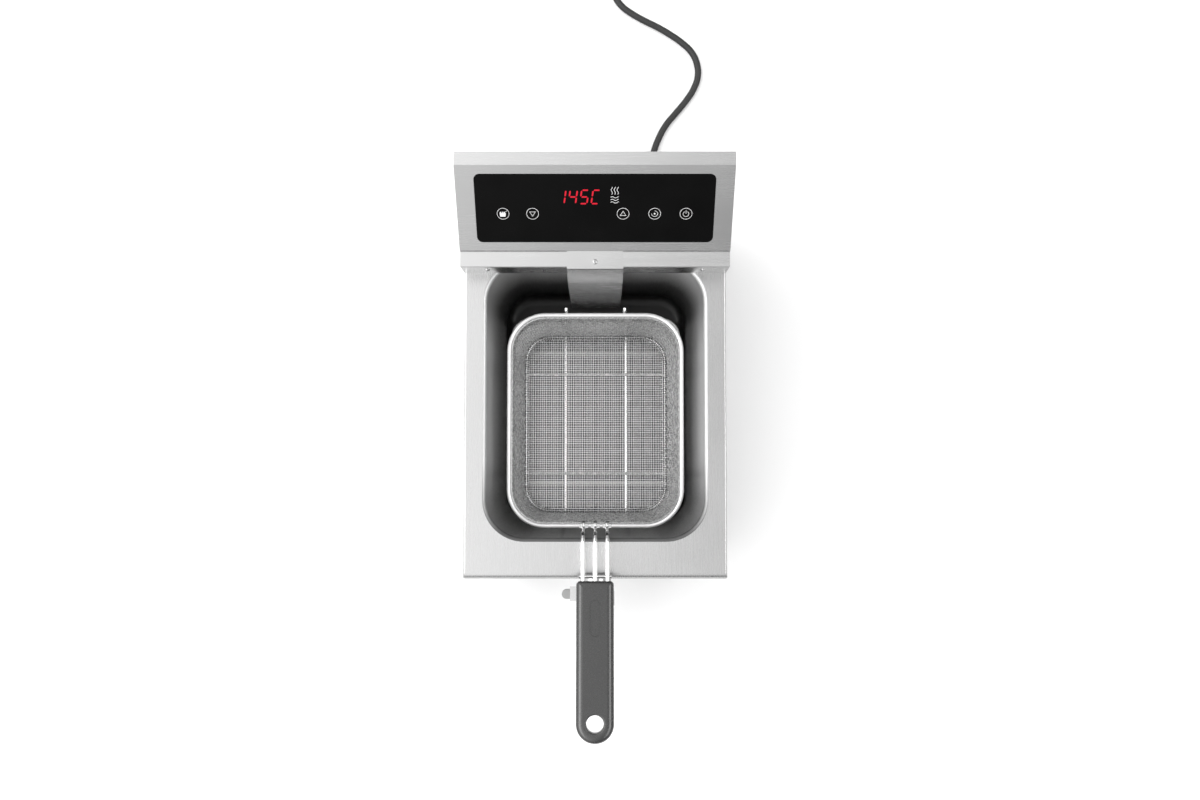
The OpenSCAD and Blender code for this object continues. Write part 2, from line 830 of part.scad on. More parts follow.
module panel_gasket() {
    outer = glass_gap + gasket_land;
    color(dark_plastic) on_slope() translate([0, slope_l / 2, 0])
        sweep_round(glass_w, glass_l, glass_r) polygon([
            [glass_r - gasket_land, glass_under - gasket_h],
            [glass_r + outer, glass_under - gasket_h],
            [glass_r + outer, -sheet_t],
            [glass_r, -sheet_t],
            [glass_r, glass_under],
            [glass_r - gasket_land, glass_under]
        ]);
}

module control_glass() {
    color("#1c1d1f") on_slope() translate([0, slope_l / 2, glass_under])
        linear_extrude(glass_t) rounded_rect(glass_w, glass_l, glass_r);
}

module touch_board() {
    color(board_green) on_slope() {
        translate([0, slope_l / 2, glass_under - gasket_h - board_t])
            linear_extrude(board_t) square([glass_w - 4, glass_l - 4], center = true);
        for (x = touch_xs)
            translate([x, touch_up, glass_under - gasket_h]) cylinder(h = gasket_h, d = touch_d);
    }
}

module led_display() {
    color(dark_plastic) on_slope()
        translate([-35, slope_l / 2 + 2, glass_under - gasket_h])
            cube([60, 24, gasket_h - 0.4]);
}

// ---- Probes behind the guard ----

// Route of a probe at side x, down from the head and forward behind the guard
function probe_route(x, low) = bent([
    [x, probe_top_y, deck_h + 14],
    [x, probe_top_y, deck_h - 8],
    [x, probe_y, deck_h - 32],
    [x, probe_y, low]
], 12);

// The nut that seals a probe in the head's floor
module probe_nut(x, size) {
    translate([x, probe_top_y, deck_h + sheet_t]) cylinder(h = 5, d = size, $fn = 6);
}

module temperature_probe() {
    color(bright_wire) {
        wire(probe_route(-probe_x, probe_low_z), probe_d, wire_sides, [1, 0, 0]);
        probe_nut(-probe_x, probe_d + 3);
    }
}

module high_limit_bulb() {
    tip = 3;
    color("#b87333") {
        wire(probe_route(probe_x, probe_low_z + bulb_l), bulb_neck_d, wire_sides, [1, 0, 0]);
        probe_nut(probe_x, bulb_neck_d + 6);
        translate([probe_x, probe_y, probe_low_z]) rotate_extrude() polygon([
            [0, 0],
            [bulb_d / 2 - tip / 2, 0],
            [bulb_d / 2, tip],
            [bulb_d / 2, bulb_l - tip],
            [bulb_neck_d / 2, bulb_l],
            [0, bulb_l]
        ]);
    }
}

// ---- Induction heater ----

module insulation_mat() {
    color("#e6e2d6") translate([0, tank_y, mat_z]) cylinder(h = mat_t, r = coil_r + 4);
}

module induction_coil() {
    web = 1;
    gap = 0.8;
    inner = coil_r - coil_turns * coil_pitch;
    color("#b87333") translate([0, tank_y, coil_z]) rotate_extrude() {
        for (i = [1 : coil_turns])
            translate([coil_r - i * coil_pitch, 0]) square([coil_pitch - gap, coil_t]);
        translate([inner, 0]) square([coil_r - gap - inner, web]);
    }
}

module coil_carrier() {
    color("#d8d2bd") translate([0, tank_y, 0]) {
        translate([0, 0, carrier_z]) difference() {
            cylinder(h = carrier_t, r = carrier_r);
            translate([0, 0, -cut]) cylinder(h = carrier_t + 2 * cut, r = 18);
        }
        for (i = [0 : 3])
            rotate(45 + i * 90) translate([post_r, 0, tray_top]) cylinder(h = carrier_z - tray_top, d = 12);
    }
}

module ferrite_bars() {
    length = 50;
    width = 12;
    color("#3b3d40") translate([0, tank_y, carrier_z - ferrite_t])
        for (i = [0 : ferrite_n - 1])
            rotate(i * 360 / ferrite_n) translate([28, -width / 2, 0]) cube([length, width, ferrite_t]);
}

// ---- Power electronics ----

module inverter_board() {
    color(board_green) translate([board_x, board_y, board_z + board_t / 2])
        cube([board_w, board_l, board_t], center = true);
}

module heat_sink() {
    fin_t = 1.6;
    pitch = (sink_w - fin_t) / (fin_n - 1);
    color("#b4b8bb") translate([sink_x - sink_w / 2, board_y - board_l / 2 + 4, sink_z]) {
        cube([sink_w, board_l - 8, sink_base_t]);
        for (i = [0 : fin_n - 1])
            translate([i * pitch, 0, sink_base_t]) cube([fin_t, board_l - 8, fin_h]);
    }
}

module power_switches() {
    color("#26282b")
        for (i = [-1 : 1])
            translate([sink_x + i * 28 - 8, board_y - 10, board_z + board_t]) cube([16, 20, switch_t]);
}

module filter_capacitors() {
    color("#c9a24a") translate([cap_x, board_y, board_z + board_t]) {
        for (y = [-1, 1])
            translate([0, y * 14, 0]) cylinder(h = 30, d = 17);
        translate([11, -13, 0]) cube([8, 26, 18]);
    }
}

module fan_frame() {
    color("#2f3133") difference() {
        union() {
            difference() {
                translate([fan_x - fan_w / 2, fan_y, fan_z - fan_w / 2]) cube([fan_w, fan_t, fan_w]);
                in_front_view(rear_in_y + cut)
                    translate([fan_x, fan_z, 0]) cylinder(h = fan_t + 2 * cut, d = duct_d);
            }
            in_front_view(rear_in_y) translate([fan_x, fan_z, 0]) {
                cylinder(h = fan_back_t, d = fan_hub_d);
                for (i = [0 : 2])
                    rotate(i * 120) translate([0, -3, 0]) cube([duct_d / 2 + cut, 6, fan_back_t]);
            }
        }
        for (x = [-1, 1], z = [-1, 1])
            in_front_view(rear_in_y + cut)
                translate([fan_x + x * (fan_w / 2 - 5), fan_z + z * (fan_w / 2 - 5), 0])
                    cylinder(h = fan_t + 2 * cut, d = 4.3);
    }
}

module fan_impeller() {
    hub_l = fan_t - fan_back_t - 2 * run_gap;
    tip_r = duct_d / 2 - 1.2;
    blade_t = 1.8;
    color("#3a3c3f") in_front_view(rear_in_y - fan_back_t - run_gap) translate([fan_x, fan_z, 0]) {
        cylinder(h = hub_l, d = fan_hub_d);
        intersection() {
            cylinder(h = hub_l, r = tip_r);
            for (i = [0 : fan_blades - 1])
                rotate(i * 360 / fan_blades)
                    translate([fan_hub_d / 2 - 1.5, 0, hub_l / 2])
                        rotate([38, 0, 0]) translate([0, -11, -blade_t / 2]) cube([tip_r, 22, blade_t]);
        }
    }
}

module terminal_block() {
    w = 42;
    l = 22;
    h = 18;
    color("#e8e6df") difference() {
        translate([gland_x - w / 2, rear_in_y - 48, tray_top]) cube([w, l, h]);
        for (i = [-1 : 1])
            translate([gland_x + i * 13, rear_in_y - 48 + l / 2, tray_top + h - 8]) cylinder(h = 8 + cut, d = 6);
    }
}

// ---- Drain tap ----

module drain_pipe() {
    l = pipe_in_y - tap_back_y + socket_l;
    color(bright_wire) in_front_view(pipe_in_y) translate([0, drain_z, 0]) difference() {
        cylinder(h = l, d = pipe_d);
        translate([0, 0, -cut]) cylinder(h = l + 2 * cut, d = pipe_bore);
    }
}

module pipe_nut() {
    color(bright_wire) in_front_view(front_y) translate([0, drain_z, 0]) difference() {
        cylinder(h = nut_t, d = pipe_d + 14, $fn = 6);
        translate([0, 0, -cut]) cylinder(h = nut_t + 2 * cut, d = pipe_d);
    }
}

module tap_body() {
    color(bright_wire) difference() {
        union() {
            in_front_view(tap_back_y) translate([0, drain_z, 0])
                cylinder(h = tap_back_y - tap_front_y - collar_l / 2, d = tap_d);
            in_front_view(tap_front_y + collar_l) translate([0, drain_z, 0])
                cylinder(h = collar_l, r = tap_hex / 2 / cos(30), $fn = 6);
            translate([0, tap_y, drain_z]) cylinder(h = neck_top - drain_z, d = neck_d);
        }
        translate([0, tap_y, drain_z]) sphere(d = ball_d + 2 * fit);
        in_front_view(tap_back_y + cut) translate([0, drain_z, 0]) {
            cylinder(h = socket_l + cut, d = pipe_d);
            cylinder(h = tap_back_y - tap_front_y + 2 * cut, d = ball_bore);
        }
        in_front_view(tap_front_y + spout_socket) translate([0, drain_z, 0])
            cylinder(h = spout_socket + cut, d = spout_d);
        translate([0, tap_y, drain_z]) cylinder(h = neck_top - drain_z + cut, d = stem_d + 2 * fit);
    }
}

// The spout's elbow as a bent rod
module spout_elbow(d) {
    in_side_view(0) translate([spout_y + spout_bend_r, drain_z - spout_bend_r])
        rotate(90) rotate_extrude(angle = 90) translate([spout_bend_r, 0]) circle(d = d);
}

// The spout's straight legs as rods whose open ends run past by the given length
module spout_legs(d, past) {
    start_y = tap_front_y + spout_socket + past;
    in_front_view(start_y) translate([0, drain_z, 0])
        cylinder(h = start_y - spout_y - spout_bend_r + spout_lap, d = d);
    translate([0, spout_y, drain_z - spout_drop - past])
        cylinder(h = spout_drop - spout_bend_r + spout_lap + past, d = d);
}

module tap_spout() {
    color(bright_wire) difference() {
        union() {
            spout_legs(spout_d, 0);
            spout_elbow(elbow_d);
        }
        spout_legs(spout_bore, cut);
        spout_elbow(spout_bore - 1);
    }
}

module tap_ball() {
    pocket = 3;
    color(bright_wire) translate([0, tap_y, drain_z]) difference() {
        sphere(d = ball_d);
        rotate([0, 90, 0]) cylinder(h = ball_d, d = ball_bore, center = true);
        translate([0, 0, ball_d / 2 - pocket]) cylinder(h = ball_d, d = stem_d);
    }
}

module tap_stem() {
    pocket = 3;
    low = drain_z + ball_d / 2 - pocket;
    color(bright_wire) translate([0, tap_y, low])
        cylinder(h = arm_z + arm_t + lever_nut_t + 2 - low, d = stem_d);
}

// A plate on the stem with folded edges, and a tongue for the plastic end
module lever_arm() {
    arm_w = neck_d - 1;
    start = grip_sleeve_l - lever_l;
    flange_t = 1.5;
    flange_drop = 2.2;
    color(steel) translate([0, tap_y, arm_z]) {
        linear_extrude(arm_t) difference() {
            union() {
                circle(d = neck_d);
                translate([start, -arm_w / 2]) square([-start, arm_w]);
                translate([-lever_l + 3, -tongue_w / 2]) square([start + lever_l, tongue_w]);
            }
            circle(d = stem_d);
        }
        for (y = [-arm_w / 2, arm_w / 2 - flange_t])
            translate([start, y, -flange_drop])
                cube([-start - neck_d / 2 - 2, flange_t, flange_drop + arm_t / 2]);
    }
}

module lever_grip() {
    color(pale_plastic) translate([0, tap_y, arm_z + arm_t / 2]) difference() {
        translate([0, 0, -grip_sleeve_t / 2]) linear_extrude(grip_sleeve_t) intersection() {
            union() {
                translate([-lever_l + lever_w / 2, 0]) circle(d = lever_w);
                translate([-lever_l + lever_w / 2, -lever_w / 2]) square([grip_sleeve_l, lever_w]);
            }
            translate([-lever_l, -lever_w / 2]) square([grip_sleeve_l, lever_w]);
        }
        translate([-lever_l + 3, -tongue_w / 2, -arm_t / 2]) cube([grip_sleeve_l, tongue_w, arm_t]);
    }
}

module lever_nut() {
    color(bright_wire) translate([0, tap_y, arm_z + arm_t]) difference() {
        cylinder(h = lever_nut_t, d = stem_d * 1.8, $fn = 6);
        translate([0, 0, -cut]) cylinder(h = lever_nut_t + 2 * cut, d = stem_d);
    }
}

// ---- Bottom grate ----

// Square openings in a flat w by l, from its own middle, kept clear of its edges
module openings(w, l) {
    hole = mesh_pitch - mesh_bar;
    nx = floor((w - mesh_bar) / mesh_pitch);
    ny = floor((l - mesh_bar) / mesh_pitch);
    for (i = [0 : nx - 1], j = [0 : ny - 1])
        translate([(i - (nx - 1) / 2) * mesh_pitch, (j - (ny - 1) / 2) * mesh_pitch])
            square(hole, center = true);
}

// A perforated sheet with round corners: openings stay clear of the corners
module mesh_sheet(w, l, r) {
    difference() {
        rounded_rect(w, l, r);
        intersection() {
            openings(w - 2 * mesh_bar, l - 2 * mesh_bar);
            rounded_rect(w - 2 * mesh_bar, l - 2 * mesh_bar, max(r - mesh_bar, 1));
        }
    }
}

module grate_frame() {
    color(bright_wire) translate([0, grate_y, 0]) {
        translate([0, 0, grate_z])
            sweep_round(grate_w, grate_l, grate_r) translate([grate_r - grate_d / 2, 0]) circle(d = grate_d);
        for (y = [-1, 1]) {
            translate([-grate_w / 2 + grate_d / 2, y * grate_bar_y, grate_bar_z])
                rotate([0, 90, 0]) cylinder(h = grate_w - grate_d, d = grate_bar_d);
            for (x = [-1, 1])
                translate([x * grate_leg_x, y * grate_bar_y, tank_floor_z + run_gap])
                    cylinder(h = grate_bar_z - tank_floor_z - run_gap, d = grate_bar_d);
        }
    }
}

module grate_mesh() {
    w = grate_w - 2 * grate_d - 2 * weld_gap;
    l = grate_l - 2 * grate_d - 2 * weld_gap;
    color(bright_wire) translate([0, grate_y, grate_z - mesh_t / 2])
        linear_extrude(mesh_t) mesh_sheet(w, l, grate_r - grate_d - weld_gap);
}

// ---- Basket ----

module basket_rim() {
    color(bright_wire) translate([0, basket_y, rim_z])
        sweep_round(basket_w, basket_l, basket_r) translate([basket_r - rim_d / 2, 0]) circle(d = rim_d);
}

// Corners of a frame wire: down one wall, across the floor and up the other
function frame_route(size, z) =
    let (
        top = size / 2 - rim_d / 2,
        low = top - basket_draft,
        high = rim_z - rim_d / 2 - weld_gap
    )
    [[-top, high], [-low, z], [low, z], [top, high]];

module basket_wires() {
    color(bright_wire) {
        for (y = [-1, 1])
            wire(
                bent([for (p = frame_route(basket_w, high_wire_z)) [p.x, basket_y + y * frame_y, p.y]],
                    high_bend_r),
                frame_d, wire_sides, [0, 1, 0]
            );
        for (x = [-1, 1])
            wire(
                bent([for (p = frame_route(basket_l, low_wire_z)) [x * frame_x, basket_y + p.x, p.y]],
                    low_bend_r),
                frame_d, wire_sides, [1, 0, 0]
            );
    }
}

// A flat mesh wall of the given width, leaning out from its foot at y = reach
module mesh_wall(width, reach) {
    color(bright_wire) translate([0, 0, mesh_z])
        translate([0, reach, 0]) rotate([90 - mesh_lean, 0, 0])
            linear_extrude(mesh_t) translate([0, mesh_slant / 2]) difference() {
                square([width, mesh_slant], center = true);
                openings(width, mesh_slant);
            }
}

module mesh_rear() {
    translate([0, basket_y, 0]) mesh_wall(flat_w, basket_l / 2 - mesh_in - basket_draft);
}

module mesh_front() {
    translate([0, basket_y, 0]) rotate(180) mesh_wall(flat_w, basket_l / 2 - mesh_in - basket_draft);
}

module mesh_left() {
    translate([0, basket_y, 0]) rotate(90) mesh_wall(flat_l, basket_w / 2 - mesh_in - basket_draft);
}

module mesh_right() {
    translate([0, basket_y, 0]) rotate(-90) mesh_wall(flat_l, basket_w / 2 - mesh_in - basket_draft);
}

// The four curved corners of the mesh, with tall slots
module mesh_corners() {
    low_r = basket_r - mesh_in - basket_draft;
    top_r = basket_r - mesh_in;
    wall = mesh_t / cos(mesh_lean);
    rows = 3;
    slot_h = (mesh_top - 4 * mesh_bar) / rows;
    color(bright_wire) for (x = [-1, 1], y = [-1, 1])
        translate([x * flat_w / 2, basket_y + y * flat_l / 2, mesh_z])
            mirror([x < 0 ? 1 : 0, 0, 0]) mirror([0, y < 0 ? 1 : 0, 0]) difference() {
                rotate_extrude(angle = 90) polygon([
                    [low_r - wall, 0],
                    [low_r, 0],
                    [top_r, mesh_top],
                    [top_r - wall, mesh_top]
                ]);
                for (i = [0 : 3], j = [0 : rows - 1])
                    rotate(11.25 + i * 22.5)
                        translate([low_r - 6, -4, mesh_bar + j * (slot_h + mesh_bar)])
                            cube([20, 8, slot_h]);
            }
}

module mesh_floor() {
    color(bright_wire) translate([0, basket_y, mesh_z])
        linear_extrude(mesh_t) mesh_sheet(floor_w, floor_l, floor_r);
}

// Wires up the back of the basket with their tips turned out past the rim
module rear_hooks() {
    color(bright_wire) for (x = [-1, 1])
        wire(
            bent([
                [x * hook_x, hook_y, rim_z - hook_drop],
                [x * hook_x, hook_y, rim_z + 0.5],
                [x * hook_x, hook_y + 3.5, rim_z + 0.5]
            ], frame_d / 2 + 0.6),
            frame_d, wire_sides, [1, 0, 0]
        );
}

// ---- Basket handle ----

module handle_wires() {
    bar_d = wire_d - 1;
    bar_out = 5;
    reach = wire_socket * cos(grip_tilt);
    color(bright_wire) {
        for (i = [-1 : 1])
            wire(
                bent([
                    [i * wire_pitch, wire_y, rim_z - wire_tail],
                    [i * wire_pitch, wire_y, wire_turn_z],
                    [i * wire_pitch, grip_y - reach, grip_z + reach * tan(grip_tilt)]
                ], wire_bend_r),
                wire_d, wire_sides, [1, 0, 0]
            );
        translate([0, grip_y + bar_out, grip_z - bar_out * tan(grip_tilt)])
            rotate([-grip_tilt, 0, 0]) translate([0, 0, -wire_d / 2 - bar_d / 2 - weld_gap])
                rotate([0, 90, 0]) cylinder(h = 2 * wire_pitch + 9, d = bar_d, center = true);
    }
}

module handle_grip() {
    half = grip_w / 2;
    end = grip_l - half;
    section = [
        [half - grip_bevel, -grip_t / 2],
        [half, -grip_t / 2 + grip_bevel],
        [half, grip_t / 2 - grip_bevel],
        [half - grip_bevel, grip_t / 2]
    ];
    recess_d = 11;
    recess_l = 27;
    color(dark_plastic) translate([0, grip_y, grip_z]) rotate([-grip_tilt, 0, 0]) difference() {
        union() {
            rotate([90, 0, 0]) linear_extrude(end)
                polygon(concat(section, [for (i = [3 : -1 : 0]) [-section[i].x, section[i].y]]));
            translate([0, -end, 0]) rotate_extrude()
                polygon(concat([[0, -grip_t / 2]], section, [[0, grip_t / 2]]));
        }
        translate([0, -end, -grip_t]) cylinder(h = 2 * grip_t, d = hole_d);
        for (i = [-1 : 1])
            translate([i * wire_pitch, cut, 0]) rotate([90, 0, 0])
                cylinder(h = wire_socket + cut, d = wire_d);
        translate([0, -26, grip_t / 2 - 0.8]) linear_extrude(cut + 0.8) {
            circle(d = recess_d);
            translate([0, -recess_l]) circle(d = recess_d);
            translate([-recess_d / 2, -recess_l]) square([recess_d, recess_l]);
        }
    }
}

// ---- Power cord ----

module cord_gland() {
    flange_y = rear_in_y + sheet_t;
    flange_t = 3;
    end_y = cord_route[0].y;
    color("#2a2b2d") in_front_view(end_y) translate([gland_x, gland_z, 0]) {
        cylinder(h = end_y - flange_y - flange_t, d1 = cord_d + 3, d2 = cord_d + 7);
        translate([0, 0, end_y - flange_y - flange_t]) cylinder(h = flange_t, d = gland_hole_d + 7);
        translate([0, 0, end_y - flange_y]) cylinder(h = sheet_t + 8, d = gland_hole_d);
    }
}

module cord_run() {
    color("#2a2b2d") wire(cord_route, cord_d, cord_sides, [0, 0, 1]);
}

module cord_coil() {
    color("#2a2b2d") translate([cord_coil_x, cord_coil_y, 0]) rotate_extrude()
        translate([cord_coil_d / 2 - 1.5 * cord_d, 0]) square([3 * cord_d, 2 * cord_d]);
}

// Places its children at the plug's cable end, with z along the plug
module on_plug() {
    translate([plug_x, plug_y, plug_z]) rotate([0, -90, 0]) children();
}

module plug_body() {
    color("#2a2b2d") on_plug() {
        cylinder(h = plug_relief_l, d1 = cord_d + 2, d2 = cord_d + 6);
        translate([0, 0, plug_relief_l]) cylinder(h = plug_l * 0.4, d1 = cord_d + 8, d2 = 2 * plug_z);
        translate([0, 0, plug_relief_l + plug_l * 0.4]) intersection() {
            cylinder(h = plug_l * 0.6, d = 36);
            translate([-plug_z, -18, 0]) cube([2 * plug_z, 36, plug_l * 0.6]);
        }
    }
}

module plug_pins() {
    color(bright_wire) on_plug()
        for (y = [-1, 1])
            translate([0, y * pin_gap / 2, plug_relief_l + plug_l]) cylinder(h = pin_l, d = pin_d);
}

base_tray();
outer_wrap();
rear_panel();
deck_plate();
oil_tank();
head_shell();
head_floor();
basket_ledge();
sensor_guard();
head_screws();
panel_gasket();
control_glass();
touch_board();
led_display();
temperature_probe();
high_limit_bulb();
insulation_mat();
induction_coil();
coil_carrier();
ferrite_bars();
inverter_board();
heat_sink();
power_switches();
filter_capacitors();
fan_frame();
fan_impeller();
terminal_block();
foot_front_left();
foot_front_right();
foot_rear_left();
foot_rear_right();
panel_screws();
drain_pipe();
pipe_nut();
tap_body();
tap_spout();
tap_ball();
tap_stem();
lever_arm();
lever_grip();
lever_nut();
grate_frame();
grate_mesh();
basket_rim();
basket_wires();
mesh_front();
mesh_rear();
mesh_left();
mesh_right();
mesh_corners();
mesh_floor();
rear_hooks();
handle_wires();
handle_grip();
cord_gland();
cord_run();
cord_coil();
plug_body();
plug_pins();
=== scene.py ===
"""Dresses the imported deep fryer: camera, materials, woven wire, handle grip, welds, screws,
cord, control symbols, floor and light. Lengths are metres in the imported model's frame,
unless a name or a comment says millimetres."""

import math

import bmesh
import bpy
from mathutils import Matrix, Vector


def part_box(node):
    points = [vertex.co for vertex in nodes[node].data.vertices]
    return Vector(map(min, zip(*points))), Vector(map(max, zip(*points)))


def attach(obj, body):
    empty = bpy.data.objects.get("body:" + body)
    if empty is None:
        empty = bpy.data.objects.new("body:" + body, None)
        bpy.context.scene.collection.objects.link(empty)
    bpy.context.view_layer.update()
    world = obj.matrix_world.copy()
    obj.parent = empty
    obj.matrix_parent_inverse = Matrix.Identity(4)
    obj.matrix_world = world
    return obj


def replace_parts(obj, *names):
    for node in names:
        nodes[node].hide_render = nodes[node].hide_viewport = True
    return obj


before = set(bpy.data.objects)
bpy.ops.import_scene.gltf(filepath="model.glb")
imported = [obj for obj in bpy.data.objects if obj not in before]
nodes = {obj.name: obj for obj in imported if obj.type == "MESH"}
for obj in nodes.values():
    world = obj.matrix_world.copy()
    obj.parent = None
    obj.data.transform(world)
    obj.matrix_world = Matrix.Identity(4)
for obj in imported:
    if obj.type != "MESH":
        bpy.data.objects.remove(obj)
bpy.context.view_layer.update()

MM = 0.001


def link(obj):
    bpy.context.scene.collection.objects.link(obj)
    return obj


# ---- Camera: above the fryer, turned a little towards its rear ----

CAMERA_PLACE = (0.0053, -0.01225, 1.6205)
CAMERA_TILT = math.radians(2.98)
SENSOR_MM = 36
LENS_MM = 36


def make_camera():
    data = bpy.data.cameras.new("camera")
    data.sensor_width = SENSOR_MM
    data.lens = LENS_MM
    camera = link(bpy.data.objects.new("camera", data))
    camera.location = CAMERA_PLACE
    camera.rotation_euler = (CAMERA_TILT, 0, 0)
    bpy.context.scene.camera = camera


make_camera()


# ---- Materials ----


def add_node(tree, kind, inputs=None, **settings):
    """A new node. Each input is linked to a socket, or set to a value."""
    node = tree.nodes.new(kind)
    for key, value in settings.items():
        setattr(node, key, value)
    for socket, value in (inputs or {}).items():
        if isinstance(value, bpy.types.NodeSocket):
            tree.links.new(value, node.inputs[socket])
        else:
            node.inputs[socket].default_value = value
    return node


def calculate(tree, operation, *values):
    """The result of a maths node for sockets or numbers."""
    made = add_node(tree, "ShaderNodeMath", dict(enumerate(values)), operation=operation)
    return made.outputs["Value"]


class Look:
    """A Principled material and the nodes that feed it."""

    def __init__(self, name, sockets):
        self.material = bpy.data.materials.new(name)
        self.material.use_nodes = True
        self.tree = self.material.node_tree
        self.shader = self.tree.nodes["Principled BSDF"]
        for socket, value in sockets.items():
            self.shader.inputs[socket].default_value = value

    def add(self, kind, inputs=None, **settings):
        return add_node(self.tree, kind, inputs, **settings)

    def feed(self, socket, output):
        self.tree.links.new(output, self.shader.inputs[socket])

    def place(self):
        return self.add("ShaderNodeTexCoord").outputs["Object"]

    def noise(self, scale, detail=3, stretch=(1, 1, 1)):
        """Noise over the object, scale per metre, finer along an axis by its stretch."""
        where = self.add("ShaderNodeMapping", {"Vector": self.place(), "Scale": stretch})
        made = self.add(
            "ShaderNodeTexNoise",
            {"Vector": where.outputs["Vector"], "Scale": scale, "Detail": detail},
        )
        return made.outputs["Fac"]

    def spread(self, value, low, high, start=0.3, end=0.7):
        """value from start to end, as a number from low to high."""
        made = self.add(
            "ShaderNodeMapRange",
            {"Value": value, "From Min": start, "From Max": end, "To Min": low, "To Max": high},
        )
        return made.outputs["Result"]

    def mixed(self, value, low, high, start=0.3, end=0.7):
        """value from start to end, as a colour from low to high."""
        share = self.spread(value, 0, 1, start, end)
        return self.blended(share, (*low, 1), (*high, 1))

    def blended(self, share, first, second):
        """The first colour where share is 0, the second where it is 1."""
        made = self.add(
            "ShaderNodeMix", {"Factor": share, "A": first, "B": second}, data_type="RGBA"
        )
        return made.outputs["Result"]

    def bump(self, height, depth):
        made = self.add("ShaderNodeBump", {"Height": height, "Distance": depth, "Strength": 1})
        self.feed("Normal", made.outputs["Normal"])


def grey(value):
    return (value, value, value)


BRUSH_FINE = 260
BRUSH_LONG = 4


def brushed_steel(name, colour, roughness, along):
    """Steel sheet, brushed along an axis (0 X, 1 Y or 2 Z)."""
    stretch = [BRUSH_FINE] * 3
    stretch[along] = BRUSH_LONG
    look = Look(name, {"Metallic": 1, "Anisotropic": 0.35})
    lines = look.noise(8, 4, stretch)
    cloud = look.noise(14, 2)
    look.feed("Base Color", look.mixed(lines, grey(colour * 0.9846), grey(colour * 1.011)))
    fine = look.spread(lines, -0.03, 0.03)
    broad = look.spread(cloud, roughness - 0.02, roughness + 0.03)
    look.feed("Roughness", calculate(look.tree, "ADD", fine, broad))
    look.bump(lines, 0.0000022)
    return look.material


def tank_steel():
    """The tank's inside: dull drawn steel. Its colour holds painted shade, dark at its floor,
    and a painted light, bright near its rim, except at the front wall."""
    look = Look("tank steel with painted shade", {"Metallic": 0.55})
    low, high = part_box("oil_tank")
    place = look.add("ShaderNodeSeparateXYZ", {"Vector": look.place()}).outputs
    # Painted shade: the colour darkens towards the tank's floor
    deep = look.mixed(place["Z"], grey(0.035), grey(0.11), low.z + 0.02, high.z - 0.09)
    # Painted light near the rim, taken off the front wall, which keeps the painted shade up to its
    # rim
    painted_light_near_rim = look.spread(place["Z"], 0, 1, high.z - 0.12, high.z - 0.02)
    painted_light_off_front = look.spread(place["Y"], 0, 1, low.y + 0.01, low.y + 0.09)
    bright = calculate(look.tree, "MULTIPLY", painted_light_near_rim, painted_light_off_front)
    look.feed("Base Color", look.blended(bright, deep, (*grey(0.62), 1)))
    lines = look.noise(9, 3, (120, 120, 6))
    look.feed("Roughness", look.spread(lines, 0.3, 0.4))
    look.bump(lines, 0.000008)
    return look.material


def chrome(name, colour, roughness, metallic=1.0):
    """Bright metal with faint blotches."""
    look = Look(name, {"Metallic": metallic})
    blotch = look.noise(220, 2)
    look.feed("Base Color", look.mixed(blotch, grey(colour * 0.93), grey(colour)))
    look.feed("Roughness", look.spread(blotch, roughness * 0.8, roughness * 1.3))
    look.bump(look.noise(900, 2), 0.00001)
    return look.material


def plastic(name, colour, roughness, grain_scale=1400, grain_depth=0.00003, ior=1.5):
    """Plastic or rubber with a fine grain."""
    look = Look(name, {"IOR": ior})
    cloud = look.noise(60, 3)
    darker = tuple(c * 0.88 for c in colour)
    look.feed("Base Color", look.mixed(cloud, darker, colour))
    look.feed("Roughness", look.spread(look.noise(300, 2), roughness - 0.04, roughness + 0.05))
    look.bump(look.noise(grain_scale, 2), grain_depth)
    return look.material


def copper():
    look = Look("copper", {"Metallic": 1, "Base Color": (0.72, 0.32, 0.16, 1), "Roughness": 0.3})
    look.bump(look.noise(600), 0.00003)
    return look.material


def panel_glass():
    """Black glass that mirrors little."""
    look = Look("panel glass", {"Specular IOR Level": 0.1})
    faint = look.noise(25, 2)
    look.feed("Base Color", look.mixed(faint, grey(0.002), grey(0.003)))
    look.feed("Roughness", look.spread(faint, 0.12, 0.18))
    return look.material


def printed(name, colour):
    look = Look(name, {"Roughness": 0.5})
    look.feed("Base Color", look.mixed(look.noise(800, 2), grey(colour * 0.9), grey(colour)))
    return look.material


def glowing(name, colour, strength):
    look = Look(name, {"Base Color": (0.1, 0, 0, 1), "Emission Strength": strength})
    dimmer = tuple(c * 0.85 for c in colour)
    look.feed("Emission Color", look.mixed(look.noise(500, 2), dimmer, colour))
    return look.material


DECK_STEEL = brushed_steel("deck steel", 0.70, 0.27, 1)
SIDE_STEEL = brushed_steel("side steel", 0.68, 0.27, 2)
HEAD_STEEL = brushed_steel("head steel", 0.72, 0.25, 0)
TANK_STEEL_PAINTED_SHADE = tank_steel()
WIRE_CHROME = chrome("wire chrome", 0.88, 0.12)
RIM_CHROME = chrome("rim chrome", 0.95, 0.2, metallic=0.6)
MESH_CHROME = chrome("mesh chrome", 0.8, 0.24)
PLATED = chrome("plated metal", 0.62, 0.2)
COPPER = copper()
GRIP_PLASTIC = plastic("grip plastic", grey(0.018), 0.26, 2200, 0.000004, ior=1.9)
DARK_PLASTIC = plastic("dark plastic", grey(0.03), 0.45)
LEVER_PLASTIC = plastic("lever plastic", grey(0.42), 0.4)
FOOT_RUBBER = plastic("foot rubber", grey(0.02), 0.7, 900, 0.00006)
CABLE_RUBBER = plastic("cable rubber", grey(0.024), 0.55, 1200, 0.00005)
BOARD_GREEN = plastic("board green", (0.03, 0.16, 0.06), 0.4)
PALE_PLASTIC = plastic("pale plastic", (0.72, 0.7, 0.62), 0.5)
